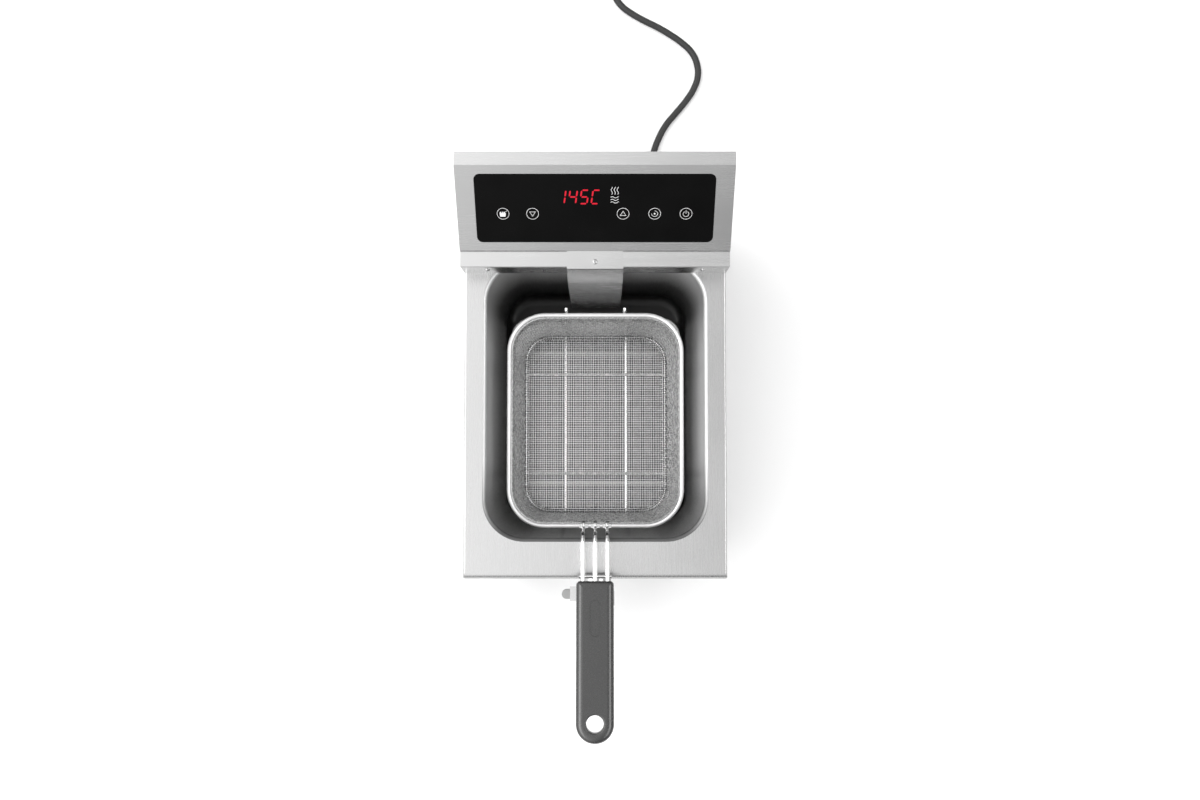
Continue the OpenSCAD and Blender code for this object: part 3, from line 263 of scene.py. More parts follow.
FERRITE = plastic("ferrite", grey(0.04), 0.6)
ALUMINIUM = chrome("aluminium", 0.6, 0.35)
CAPACITOR = plastic("capacitor", (0.55, 0.36, 0.06), 0.35)
PANEL_GLASS = panel_glass()
WHITE_PRINT = printed("white print", 0.85)
LED_RED = glowing("lit segments", (0.8, 0.001, 0.03), 0.95)

LOOKS = {
    DECK_STEEL: ["deck_plate"],
    SIDE_STEEL: ["outer_wrap", "rear_panel", "base_tray", "head_floor"],
    HEAD_STEEL: ["head_shell", "basket_ledge", "sensor_guard"],
    TANK_STEEL_PAINTED_SHADE: ["oil_tank"],
    WIRE_CHROME: [
        "basket_wires", "rear_hooks", "handle_wires", "lever_arm", "temperature_probe",
    ],
    RIM_CHROME: ["basket_rim", "grate_frame"],
    PLATED: [
        "drain_pipe", "pipe_nut", "tap_body", "tap_spout",
        "tap_ball", "tap_stem", "lever_nut", "plug_pins",
    ],
    COPPER: ["induction_coil", "high_limit_bulb"],
    DARK_PLASTIC: ["panel_gasket", "led_display", "fan_frame", "fan_impeller", "power_switches"],
    LEVER_PLASTIC: ["lever_grip"],
    FOOT_RUBBER: ["foot_front_left", "foot_front_right", "foot_rear_left", "foot_rear_right"],
    CABLE_RUBBER: ["plug_body"],
    BOARD_GREEN: ["touch_board", "inverter_board"],
    PALE_PLASTIC: ["insulation_mat", "coil_carrier", "terminal_block"],
    FERRITE: ["ferrite_bars"],
    ALUMINIUM: ["heat_sink"],
    CAPACITOR: ["filter_capacitors"],
    PANEL_GLASS: ["control_glass"],
}

for look, names in LOOKS.items():
    for name in names:
        nodes[name].data.materials.clear()
        nodes[name].data.materials.append(look)


# ---- Shapes ----


def arc(x, y, r, start=0, end=360, steps=40):
    """Points of an arc in a plane, between two angles in degrees."""
    turns = [math.radians(start + (end - start) * k / steps) for k in range(steps + 1)]
    return [(x + r * math.cos(t), y + r * math.sin(t)) for t in turns]


def neighbours(line, i, closed):
    """The points before and after one point of a line."""
    before = line[i - 1] if i or closed else line[0]
    after = line[(i + 1) % len(line)] if i < len(line) - 1 or closed else line[-1]
    return before, after


SHARP_ANGLE = math.radians(38)


class Shape:
    """Points and faces that are gathered into one piece."""

    def __init__(self):
        self.points = []
        self.faces = []

    def tube(self, line, outs, radius, sides=4, closed=False):
        """A tube round a line, whose outs are directions across it, one per point."""
        count = len(line)
        start = len(self.points)
        for i, (point, out) in enumerate(zip(line, outs)):
            before, after = neighbours(line, i, closed)
            side = (after - before).cross(out).normalized()
            for k in range(sides):
                turn = 2 * math.pi * (k + 0.5) / sides
                self.points.append(point + radius * (math.cos(turn) * out + math.sin(turn) * side))
        for i in range(count if closed else count - 1):
            a = start + i * sides
            b = start + (i + 1) % count * sides
            for k in range(sides):
                m = (k + 1) % sides
                self.faces.append((a + k, a + m, b + m, b + k))
        if not closed:
            self.faces.append([start + k for k in range(sides)][::-1])
            self.faces.append([start + (count - 1) * sides + k for k in range(sides)])

    def prism(self, outline, thick, place):
        """A flat plate with an outline in the plane. place puts (x, up, out) in space."""
        count = len(outline)
        start = len(self.points)
        for out in (0, thick):
            self.points += [place(x, up, out) for x, up in outline]
        self.faces.append([start + k for k in range(count)][::-1])
        self.faces.append([start + count + k for k in range(count)])
        for k in range(count):
            m = (k + 1) % count
            self.faces.append((start + k, start + m, start + count + m, start + count + k))

    def stroke(self, line, width, thick, place, closed=False):
        """A flat ribbon of the given width along a line in the plane."""
        count = len(line)
        start = len(self.points)
        for i, here in enumerate(line):
            before, after = neighbours(line, i, closed)
            first = Vector(here) - Vector(before)
            second = Vector(after) - Vector(here)
            if first.length == 0:
                first = second
            if second.length == 0:
                second = first
            first.normalize()
            second.normalize()
            middle = (first + second).normalized()
            across = Vector((-middle.y, middle.x)) * (width / 2 / max(middle.dot(first), 0.4))
            for side in (-1, 1):
                x, up = Vector(here) + side * across
                self.points += [place(x, up, 0), place(x, up, thick)]
        for i in range(count if closed else count - 1):
            a = start + i * 4
            b = start + (i + 1) % count * 4
            self.faces += [
                (a, b, b + 2, a + 2), (a + 1, a + 3, b + 3, b + 1),
                (a, a + 1, b + 1, b), (a + 2, b + 2, b + 3, a + 3),
            ]
        if not closed:
            last = start + (count - 1) * 4
            self.faces += [
                (start, start + 2, start + 3, start + 1),
                (last, last + 1, last + 3, last + 2),
            ]

    def ring(self, points):
        """Add a closed ring of points. Gives their numbers."""
        self.points += points
        return list(range(len(self.points) - len(points), len(self.points)))

    def skin(self, rings):
        """Join rings of equally many points."""
        for a, b in zip(rings, rings[1:]):
            for k in range(len(a)):
                m = (k + 1) % len(a)
                self.faces.append((a[k], a[m], b[m], b[k]))

    def plate(self, outer, holes):
        """Fill a ring round its holes, with a face on each side of the middle line. Every
        ring starts on that line and crosses it again halfway."""
        right = outer[: len(outer) // 2 + 1]
        left = outer[len(outer) // 2 :] + outer[:1]
        for hole in reversed(holes):
            right += hole[: len(hole) // 2 + 1][::-1]
        for hole in holes:
            left += hole[:1] + hole[len(hole) // 2 :][::-1]
        self.faces += [right, left]

    def turned(self, origin, axis, profile, sides=32):
        """A round piece along an axis from (radius, distance) rings, open at its far end.
        Gives the last ring and two directions across the axis."""
        u = axis.orthogonal().normalized()
        v = axis.cross(u)
        turns = [math.pi / 2 - 2 * math.pi * k / sides for k in range(sides)]
        rings = [
            self.ring([origin + axis * far + r * (math.cos(t) * u + math.sin(t) * v) for t in turns])
            for r, far in profile
        ]
        self.skin(rings)
        self.faces.append(rings[0][::-1])
        return rings[-1], u, v

    def piece(self, name, look, body, smooth=True):
        """The shape as an object that rides on a body."""
        data = bpy.data.meshes.new(name)
        data.from_pydata(self.points, [], self.faces)
        data.validate()
        mesh = bmesh.new()
        mesh.from_mesh(data)
        bmesh.ops.recalc_face_normals(mesh, faces=mesh.faces)
        mesh.to_mesh(data)
        mesh.free()
        if smooth:
            data.shade_smooth()
            data.set_sharp_from_angle(angle=SHARP_ANGLE)
        data.materials.append(look)
        obj = link(bpy.data.objects.new(name, data))
        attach(obj, body)
        return obj


# ---- Woven wire of the basket and the grate ----

MESH_PITCH = 2.8 * MM
MESH_WIRE_R = 0.38 * MM
MESH_BEND_R = 5 * MM
MESH_BEND_STEPS = 3
MESH_DRAFT = 6 * MM
FLOOR_CORNER_R = 26 * MM
GRATE_PITCH = 3.5 * MM
GRATE_CORNER_R = 20 * MM


def round_outline(flat_w, flat_l, r, pitch):
    """(anchor, outward direction) of each wire round a rectangle with round corners:
    straight sides of flat_w and flat_l, and corners whose middle radius is r."""
    made = []
    corners = [(1, -1, -90), (1, 1, 0), (-1, 1, 90), (-1, -1, 180)]
    for i, (x, y, start) in enumerate(corners):
        centre = Vector((x * flat_w / 2, y * flat_l / 2, 0))
        arc_n = round(r * math.pi / 2 / pitch)
        for k in range(arc_n):
            turn = math.radians(start + 90 * k / arc_n)
            made.append((centre, Vector((math.cos(turn), math.sin(turn), 0))))
        side = flat_l if i % 2 == 0 else flat_w
        side_n = 2 * round(side / pitch / 2) - (arc_n % 2)
        end = math.radians(start + 90)
        out = Vector((math.cos(end), math.sin(end), 0))
        forward = Vector((-out.y, out.x, 0))
        for k in range(side_n):
            made.append((centre + forward * side * k / side_n, out))
    return made


def weave_walls():
    low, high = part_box("mesh_corners")
    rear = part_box("mesh_rear")
    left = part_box("mesh_left")
    flat_w = rear[1].x - rear[0].x
    flat_l = left[1].y - left[0].y
    centre_y = (low.y + high.y) / 2
    top_r = (high.x - low.x - flat_w) / 2
    low_r = top_r - MESH_DRAFT
    tall = high.z - low.z
    lean = math.atan2(MESH_DRAFT, tall)
    # Down the wall and round the bend at its foot, as (distance out, height, slant)
    steps = round(tall / MESH_PITCH)
    shares = [1 - j / steps for j in range(steps + 1)]
    profile = [
        (low_r + MESH_DRAFT * share, share * tall, lean)
        for share in shares
        if share * tall > MESH_BEND_R
    ]
    for j in range(MESH_BEND_STEPS + 1):
        turn = math.pi / 2 * j / MESH_BEND_STEPS
        reach = low_r - MESH_BEND_R + MESH_BEND_R * math.cos(turn)
        profile.append((reach, MESH_BEND_R - MESH_BEND_R * math.sin(turn), turn + lean))
    uprights = round_outline(flat_w, flat_l, (top_r + low_r) / 2, MESH_PITCH)

    def spot(anchor, out, row, side):
        reach, height, slant = row
        normal = out * math.cos(slant) - Vector((0, 0, math.sin(slant)))
        base = Vector((0, centre_y, low.z)) + anchor + out * (reach - 2 * MESH_WIRE_R)
        return base + Vector((0, 0, height + 2 * MESH_WIRE_R)) + normal * side * MESH_WIRE_R, normal

    shape = Shape()
    for i, (anchor, out) in enumerate(uprights):
        spots = [spot(anchor, out, row, (-1) ** (i + j)) for j, row in enumerate(profile)]
        shape.tube(*zip(*spots), MESH_WIRE_R)
    for j, row in enumerate(profile):
        spots = [
            spot(anchor, out, row, (-1) ** (i + j + 1))
            for i, (anchor, out) in enumerate(uprights)
        ]
        shape.tube(*zip(*spots), MESH_WIRE_R, closed=True)
    walls = shape.piece("woven_walls", MESH_CHROME, "basket")
    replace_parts(walls, "mesh_front", "mesh_rear", "mesh_left", "mesh_right", "mesh_corners")


def weave_flat(name, look, body, replaced, inset, r, pitch):
    """A flat woven sheet with round corners, inset from the box of the node it replaces."""
    low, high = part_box(replaced)
    centre = (low + high) / 2
    size = (high.x - low.x - 2 * inset, high.y - low.y - 2 * inset)
    shape = Shape()
    up = Vector((0, 0, 1))
    for axis in (0, 1):
        other = 1 - axis
        half_l = size[axis] / 2
        half_w = size[other] / 2
        wires = round(half_w / pitch)
        crossings = round(half_l / pitch)
        for i in range(-wires, wires + 1):
            across = half_w * i / wires
            past = abs(across) - (half_w - r)
            cut = r - math.sqrt(max(r * r - past * past, 0)) if past > 0 else 0
            reach = half_l - cut
            inner = [half_l * j / crossings for j in range(-crossings, crossings + 1)]
            inner = [far for far in inner if abs(far) < reach - pitch / 3]
            line = []
            for far in [-reach] + inner + [reach]:
                j = round(far / half_l * crossings)
                offset = Vector((0, 0, (-1) ** (i + j + axis) * MESH_WIRE_R))
                offset[axis] = far
                offset[other] = across
                line.append(centre + offset)
            shape.tube(line, [up] * len(line), MESH_WIRE_R)
    made = shape.piece(name, look, body)
    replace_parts(made, replaced)


weave_walls()
weave_flat(
    "woven_floor", MESH_CHROME, "basket", "mesh_floor", MESH_BEND_R, FLOOR_CORNER_R, MESH_PITCH
)
weave_flat("woven_grate", RIM_CHROME, "grate", "grate_mesh", 0, GRATE_CORNER_R, GRATE_PITCH)


# ---- Handle grip, welds and screws ----

GRIP_LOW, GRIP_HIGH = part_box("handle_grip")
GRIP_W = GRIP_HIGH.x - GRIP_LOW.x
GRIP_T = 20 * MM
GRIP_L = 168 * MM
GRIP_TILT = math.radians(8)
GRIP_REAR_Z = 326 * MM
GRIP_START = Vector((0, GRIP_HIGH.y - GRIP_T / 2 * math.sin(GRIP_TILT), GRIP_REAR_Z))
GRIP_BEVEL_W = 7 * MM
GRIP_BEVEL_H = 5.5 * MM
GRIP_CORNER_R = 4 * MM
LEAST_CORNER_R = 0.5 * MM
FACE_BAND = 0.6 * MM
EYE_Y = GRIP_W / 2 - GRIP_L
EYE_R = 9.25 * MM
EYE_BEVEL = 1.6 * MM
EYE_BAND = 0.5 * MM
RECESS_REAR = -26 * MM
RECESS_FRONT = -53 * MM
RECESS_R = 5.5 * MM
RECESS_DEPTH = 0.8 * MM
RECESS_SLANT = 0.2 * MM


def on_grip(x, y, z):
    """Point from across, along (negative to the front) and out of the grip's middle."""
    tilt = GRIP_TILT
    return GRIP_START + Vector(
        (x, y * math.cos(tilt) + z * math.sin(tilt), z * math.cos(tilt) - y * math.sin(tilt))
    )


def grip_ring(shape, inset, z):
    """The grip's outline at a height, inset from its widest."""
    half = GRIP_W / 2 - inset
    r = max(GRIP_CORNER_R - inset, LEAST_CORNER_R)
    line = [(0, -inset)] + arc(half - r, -inset - r, r, 90, 0, 4)
    line += arc(0, EYE_Y, half, 0, -180, 32)
    line += arc(r - half, -inset - r, r, 180, 90, 4)
    return shape.ring([on_grip(x, y, z) for x, y in line])


def make_grip():
    """The grip with rolled edges, a round eye at its front end and a bare recess on top."""
    shape = Shape()
    half = GRIP_T / 2
    wide = GRIP_BEVEL_W
    tall = GRIP_BEVEL_H
    turns = [math.radians(90 * k / 8) for k in range(9)]
    rows = [(wide + FACE_BAND, -half)]
    rows += [(wide - wide * math.sin(t), -half + tall - tall * math.cos(t)) for t in turns]
    rows += [(wide - wide * math.cos(t), half - tall + tall * math.sin(t)) for t in turns]
    rows.append((wide + FACE_BAND, half))
    sides = [grip_ring(shape, inset, z) for inset, z in rows]
    shape.skin(sides)

    bends = arc(EYE_R + EYE_BEVEL, half - EYE_BEVEL, EYE_BEVEL, 90, 180, 4)
    band = bends[0][0] + EYE_BAND
    rows = [(band, half)] + bends + [(r, -z) for r, z in reversed(bends)] + [(band, -half)]
    eye = [
        shape.ring([on_grip(x, y, z) for x, y in arc(0, EYE_Y, r, 90, -270)[:-1]])
        for r, z in rows
    ]
    shape.skin(eye)

    recess = []
    for inset, deep in ((0, 0), (RECESS_SLANT, RECESS_DEPTH)):
        r = RECESS_R - inset
        line = arc(0, RECESS_REAR, r, 90, 0, 6)
        line += arc(0, RECESS_FRONT, r, 0, -180, 12)
        line += arc(0, RECESS_REAR, r, 180, 90, 6)[:-1]
        recess.append(shape.ring([on_grip(x, y, half - deep) for x, y in line]))
    shape.skin(recess)
    shape.faces.append(recess[1])

    shape.plate(sides[-1], [recess[0], eye[0]])
    shape.plate(sides[0], [eye[-1]])
    grip = shape.piece("smooth_grip", GRIP_PLASTIC, "basket")
    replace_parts(grip, "handle_grip")


HANDLE_WIRE_PITCH = 13.2 * MM
WELD_WIRE_R = 2.2 * MM
WELD_BEAD_R = 1.6 * MM
# The end of a handle wire over the rim, and its beads, as millimetres from the rim's middle
WELD_PATH = [(-5, 22), (-4.7, 14), (-3.6, 8), (-1.4, 5), (1.4, 4.4), (3.7, 2.6), (4.5, -1), (4.4, -4)]
WELD_BEAD_Y = 1.6
WELD_BEAD_Z = 1.9
WELD_BEAD_X = (-4.8, -4.2, -2, 0, 2, 4.2, 4.8)


def make_rim_welds():
    """Each handle wire is welded over the rim's top."""
    low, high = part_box("basket_rim")
    r = (high.z - low.z) / 2
    up = Vector((0, 0, 1))
    shape = Shape()
    for x in (-HANDLE_WIRE_PITCH, 0, HANDLE_WIRE_PITCH):
        here = Vector((x, low.y + r, low.z + r))
        line = [here + Vector((0, y * MM, z * MM)) for y, z in WELD_PATH]
        outs = []
        for i in range(len(line)):
            before, after = neighbours(line, i, closed=False)
            way = after - before
            outs.append(Vector((0, -way.z, way.y)).normalized())
        shape.tube(line, outs, WELD_WIRE_R, sides=12)
        for y in (-WELD_BEAD_Y, WELD_BEAD_Y):
            spot = here + Vector((0, y * MM, WELD_BEAD_Z * MM))
            bead = [spot + Vector((reach * MM, 0, 0)) for reach in WELD_BEAD_X]
            shape.tube(bead, [up] * len(bead), WELD_BEAD_R, sides=8)
    shape.piece("rim_welds", WIRE_CHROME, "basket")


SCREW_R = 2.8 * MM
SCREW_H = 1.6 * MM
CROSS_HALF_W = 0.36 * MM
CROSS_REACH = 1.45 * MM
CROSS_DEPTH = 0.75 * MM
CROSS_FOOT_SHARE = 0.8
MIDDLE_SCREW_RISE = 1.5 * MM


def pan_screw(shape, spot, out):
    """A domed head with a cross cut in it."""
    rows = [(1, 0), (1, 0.35), (0.94, 0.62), (0.8, 0.86), (0.64, 0.98), (0.6, 1)]
    top, u, v = shape.turned(spot, out, [(a * SCREW_R, b * SCREW_H) for a, b in rows], 24)
    slots = []
    for share, deep in ((1, 0), (CROSS_FOOT_SHARE, CROSS_DEPTH)):
        a = CROSS_HALF_W * share
        b = CROSS_REACH * share
        right = [(0, b), (a, b), (a, a), (b, a), (b, -a), (a, -a), (a, -b)]
        line = right + [(-x, -y) for x, y in right]
        slots.append(shape.ring([spot + out * (SCREW_H - deep) + x * u + y * v for x, y in line]))
    shape.skin(slots)
    shape.faces.append(slots[1])
    shape.plate(top, [slots[0]])


def make_screws():
    """One screw on the basket ledge, two on the head's front and eight round the rear panel."""
    low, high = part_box("head_screws")
    shape = Shape()
    pan_screw(shape, Vector((0, high.y - SCREW_R, high.z - SCREW_H)), Vector((0, 0, 1)))
    for x in (low.x + SCREW_R, high.x - SCREW_R):
        pan_screw(shape, Vector((x, low.y + SCREW_H, low.z + SCREW_R)), Vector((0, -1, 0)))
    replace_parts(shape.piece("cross_head_screws", PLATED, "housing"), "head_screws")
    low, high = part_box("panel_screws")
    rows = [
        (low.z + SCREW_R, (-1, 0, 1)),
        ((low.z + high.z) / 2 + MIDDLE_SCREW_RISE, (-1, 1)),
        (high.z - SCREW_R, (-1, 0, 1)),
    ]
    shape = Shape()
    for z, columns in rows:
        for column in columns:
            spot = Vector((column * (high.x - SCREW_R), high.y - SCREW_H, z))
            pan_screw(shape, spot, Vector((0, 1, 0)))
    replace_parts(shape.piece("cross_panel_screws", PLATED, "housing"), "panel_screws")


make_grip()
make_rim_welds()
make_screws()


# ---- Cord: the route that the CAD solids follow, then the coil ----

CORD_D = 8.8 * MM
CORD_EXIT = (0.070, 0.331, 0.055)
CORD_FALL = [
    CORD_EXIT, (0.070, 0.343, 0.055), (0.070, 0.355, 0.052), (0.071, 0.366, 0.044),
    (0.073, 0.376, 0.034), (0.074, 0.386, 0.024), (0.076, 0.396, 0.014), (0.078, 0.408, 0.007),
]
CORD_LYING_Z = 4.5 * MM
CORD_LYING = [
    (0.084, 0.426), (0.095, 0.447), (0.108, 0.463), (0.122, 0.480), (0.133, 0.497),
    (0.139, 0.515), (0.138, 0.532), (0.131, 0.548), (0.117, 0.562), (0.100, 0.574),
    (0.083, 0.584), (0.065, 0.593), (0.048, 0.603),
]
CORD_TO_COIL = [
    (0.035, 0.613, 0.0046), (0.026, 0.626, 0.0049), (0.020, 0.642, 0.0053), (0.018, 0.663, 0.0056),
]
CORD_TO_PLUG = [(-0.046, 0.739, 0.0139), (-0.058, 0.7383, 0.0134), (-0.070, 0.738, 0.0132)]

# The coil's angles are degrees along the cord, so a whole turn is 360
COIL_CENTRE = Vector((-0.034, 0.690, 0))
COIL_OUTER_R = 56.8 * MM
COIL_INNER_R = 39.2 * MM
COIL_LOW_Z = 5.8 * MM
COIL_HIGH_Z = 14.65 * MM
COIL_START = 5
COIL_END = 1165
COIL_STEP = 20
COIL_OUTWARD_FROM = 750
COIL_CLIMB = (690, 790)


def smooth_step(value, start, end):
    """0 up to start, 1 from end, with an eased rise between."""
    share = min(max((value - start) / (end - start), 0), 1)
    return share * share * (3 - 2 * share)


def coil_point(angle):
    """Point of the coil: two turns in along the floor, then out on top of them."""
    inward = COIL_OUTER_R - CORD_D * angle / 360
    outward = COIL_INNER_R + CORD_D * (angle - COIL_OUTWARD_FROM) / 360
    r = max(inward, COIL_INNER_R, outward)
    z = COIL_LOW_Z + (COIL_HIGH_Z - COIL_LOW_Z) * smooth_step(angle, *COIL_CLIMB)
    turn = math.radians(angle)
    return COIL_CENTRE + Vector((r * math.cos(turn), r * math.sin(turn), z))


TIE_TURN = 200
TIE_HALF_W = 2.3 * MM
TIE_INNER = 0.1 * MM
TIE_OUTER = 1.2 * MM
# Rows of the tie's lock: half its width and height, and the distance out, in millimetres
LOCK_ROWS = [(2.6, 3.2, 0), (3.1, 3.6, 0.5), (3.1, 3.6, 3.2), (2.6, 3.2, 3.8)]
LOCK_OFFSET = 1 * MM


def make_tie():
    """A cable tie round the coil's three wires at one place."""
    turn = math.radians(TIE_TURN)
    out = Vector((math.cos(turn), math.sin(turn), 0))
    along = Vector((-out.y, out.x, 0))
    up = Vector((0, 0, 1))
    wires = []
    for lap in range(3):
        way = coil_point(TIE_TURN + 360 * lap) - COIL_CENTRE
        wires.append((math.hypot(way.x, way.y), way.z))
    shape = Shape()
    loops = []
    for side, off in ((-1, TIE_INNER), (-1, TIE_OUTER), (1, TIE_OUTER), (1, TIE_INNER)):
        edge = COIL_CENTRE + along * side * TIE_HALF_W
        loop = []
        reach = CORD_D / 2 + off
        for k in range(48):
            t = 2 * math.pi * k / 48
            r, z = max(wires, key=lambda w: w[0] * math.cos(t) + w[1] * math.sin(t))
            level = out * (r + reach * math.cos(t))
            loop.append(edge + level + up * (z + reach * math.sin(t)))
        loops.append(shape.ring(loop))
    shape.skin(loops + loops[:1])
    # The lock, a small bevelled block on the coil's outside
    r, z = wires[0]
    lock = COIL_CENTRE + out * (r + CORD_D / 2 + LOCK_OFFSET) + up * (z + LOCK_OFFSET)
    block = [
        shape.ring([
            lock + (along * a * wide + up * b * tall + out * deep) * MM
            for a, b in ((-1, -1), (1, -1), (1, 1), (-1, 1))
        ])
        for wide, tall, deep in LOCK_ROWS
    ]
    shape.skin(block)
    shape.faces += [block[0][::-1], block[-1]]
    return shape.piece("cable_tie", DARK_PLASTIC, "housing")


FLANGE_T = 3 * MM
FLANGE_IN = 1 * MM
FLANGE_BEVEL = 0.8 * MM
FLANGE_EDGE = 0.9 * MM
RIBS = 5
RIBS_START = 3.4 * MM
RIB_R = 8 * MM
RIB_R_STEP = 0.45 * MM
RIB_H = 1.2 * MM
MOUTH_WALL = 0.7 * MM
MOUTH_BEVEL_W = 0.4 * MM
MOUTH_BEVEL_L = 0.2 * MM


def make_strain_relief():
    """A flange on the rear panel, then a ribbed sleeve that narrows to the cable."""
    low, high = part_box("cord_gland")
    spot = Vector((CORD_EXIT[0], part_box("rear_panel")[1].y, CORD_EXIT[2]))
    wide = (high.x - low.x) / 2
    end = high.y - spot.y
    profile = [
        (wide - FLANGE_BEVEL, -FLANGE_IN),
        (wide, 0),
        (wide, FLANGE_T - FLANGE_BEVEL),
        (wide - FLANGE_EDGE, FLANGE_T),
    ]
    pitch = (end - RIBS_START) / RIBS
    for k in range(RIBS):
        far = RIBS_START + pitch * k
        r = RIB_R - RIB_R_STEP * k
        profile += [
            (r - RIB_H, far), (r - RIB_H, far + 0.4 * pitch),
            (r, far + 0.5 * pitch), (r, far + 0.9 * pitch),
        ]
    mouth_r = CORD_D / 2 + MOUTH_WALL
    profile += [(mouth_r + MOUTH_BEVEL_W, end - MOUTH_BEVEL_L), (mouth_r, end)]
    shape = Shape()
    mouth = shape.turned(spot, Vector((0, 1, 0)), profile)[0]
    shape.faces.append(mouth)
    relief = shape.piece("strain_relief", CABLE_RUBBER, "housing")
    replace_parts(relief, "cord_gland")
    return relief


def make_cord():
    """The whole cable, from the strain relief to the plug beside the coil."""
    lying = [(x, y, CORD_LYING_Z) for x, y in CORD_LYING]
    coil = [coil_point(angle) for angle in range(COIL_START, COIL_END + 1, COIL_STEP)]
    points = CORD_FALL + lying + CORD_TO_COIL + coil + CORD_TO_PLUG
    data = bpy.data.curves.new("power_cord", "CURVE")
    data.dimensions = "3D"
    data.bevel_depth = CORD_D / 2
    data.bevel_resolution = 4
    data.resolution_u = 4
    spline = data.splines.new("BEZIER")
    spline.bezier_points.add(len(points) - 1)
    for knot, point in zip(spline.bezier_points, points):
        knot.co = point
        knot.handle_left_type = "AUTO"
        knot.handle_right_type = "AUTO"
    data.materials.append(CABLE_RUBBER)
    cord = link(bpy.data.objects.new("power_cord", data))
    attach(cord, "housing")
    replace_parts(cord, "cord_run", "cord_coil")
    make_strain_relief()
    make_tie()


make_cord()


# ---- Symbols on the control glass ----

SHEET_T = 1.2 * MM
GLASS_RISE = 0.8 * MM
PRINT_T = 0.12 * MM
LEDGE_GAP = 2.2 * MM
SLOPE_STEP = 4 * MM
TOP_STRIP = 13.8 * MM
SHELL_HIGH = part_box("head_shell")[1]
LEDGE_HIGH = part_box("basket_ledge")[1]
SLOPE_FOOT = Vector((0, LEDGE_HIGH.y + LEDGE_GAP, LEDGE_HIGH.z - SHEET_T + SLOPE_STEP))
SLOPE_TOP = Vector((0, SHELL_HIGH.y - TOP_STRIP, SHELL_HIGH.z))
UP_SLOPE = (SLOPE_TOP - SLOPE_FOOT).normalized()
OUT_OF_SLOPE = Vector((1, 0, 0)).cross(UP_SLOPE)


def on_glass(x, up, out):
    """Point on the glass from millimetres across and up the slope, and metres out of it."""
    across = Vector((x * MM, 0, 0))
    return SLOPE_FOOT + across + UP_SLOPE * up * MM + OUT_OF_SLOPE * (GLASS_RISE + out)


# Sizes and places of the symbols and digits are millimetres on the glass
KEY_UP = 43.9
BASKET_X = -96.5
DOWN_X = -65.5
RISE_X = 29.5
TIMER_X = 62.7
POWER_X = 95.6
KEY_R = 6.3
LINE_W = 0.4


def draw(shape, line, closed=False, width=LINE_W):
    """A printed line."""
    shape.stroke(line, width, PRINT_T, on_glass, closed)


def dot(shape, x, up, r, steps):
    """A printed dot."""
    shape.prism(arc(x, up, r, steps=steps)[:-1], PRINT_T, on_glass)


def key_symbols(shape):
    """A ring for each key, with its symbol inside."""
    for x in (BASKET_X, DOWN_X, RISE_X, TIMER_X, POWER_X):
        draw(shape, arc(x, KEY_UP, KEY_R)[:-1], closed=True)
    # Triangles that point down and up
    for x, side in ((DOWN_X, -1), (RISE_X, 1)):
        foot = KEY_UP - side * 2.1
        draw(shape, [(x - 3, foot), (x + 3, foot), (x, KEY_UP + side * 2.9)], closed=True)
    # Power: an open ring and a bar
    draw(shape, arc(POWER_X, KEY_UP - 0.3, 3, 120, 420))
    draw(shape, [(POWER_X, KEY_UP), (POWER_X, KEY_UP + 3.9)])
    # Timer: three quarters of a ring round a dot
    draw(shape, arc(TIMER_X, KEY_UP, 3.2, 180, 450))
    dot(shape, TIMER_X, KEY_UP, 0.9, 12)
    # Basket: a pot with a handle and three pieces of food
    pot_top = KEY_UP + 0.6
    pot_foot = KEY_UP - 3.4
    pot = [(-3.6, pot_top), (-3.1, pot_foot), (2.4, pot_foot), (2.9, pot_top)]
    shape.prism([(BASKET_X + x, up) for x, up in pot], PRINT_T, on_glass)
    draw(shape, [(BASKET_X + 1.6, KEY_UP + 1.2), (BASKET_X + 4.4, KEY_UP + 3.6)])
    for k in range(3):
        dot(shape, BASKET_X - 2.6 + 1.9 * k, KEY_UP + 1.5, 0.7, 10)


HEAT_X = 20.6
UPRIGHT_UP = 65.9
UPRIGHT_PITCH = 3.1
LEVEL_UP = 59.7
LEVEL_PITCH = 2.9
WAVE_L = 8.4
WAVE_H = 0.75
WAVES = 1.25
WAVE_STEPS = 16
WAVE_LINE_W = 0.48


def heat_symbol(shape):
    """Three upright waves over three level ones."""
    shares = [k / WAVE_STEPS for k in range(WAVE_STEPS + 1)]
    wave = [(t * WAVE_L, WAVE_H * math.sin(2 * math.pi * WAVES * t)) for t in shares]
    for i in (-1, 0, 1):
        x = HEAT_X + i * UPRIGHT_PITCH
        draw(shape, [(x + side, UPRIGHT_UP + far) for far, side in wave], width=WAVE_LINE_W)
        x = HEAT_X - WAVE_L / 2
        up = LEVEL_UP + i * LEVEL_PITCH
        draw(shape, [(x + far, up + side) for far, side in wave], width=WAVE_LINE_W)


# Each digit's lit bars: a top, b top right, c low right, d bottom, e low left,
# f top left, g middle
BARS = {"1": "bc", "4": "bcfg", "5": "acdfg", "C": "adef"}
DIGIT_W = 7.4
DIGIT_H = 15.2
DIGIT_PITCH = 11.9
DIGIT_SLANT = 0.14
BAR_W = 1.65
BAR_GAP = 0.55
READOUT = "145C"
READOUT_X = -39.6
READOUT_UP = 55.4


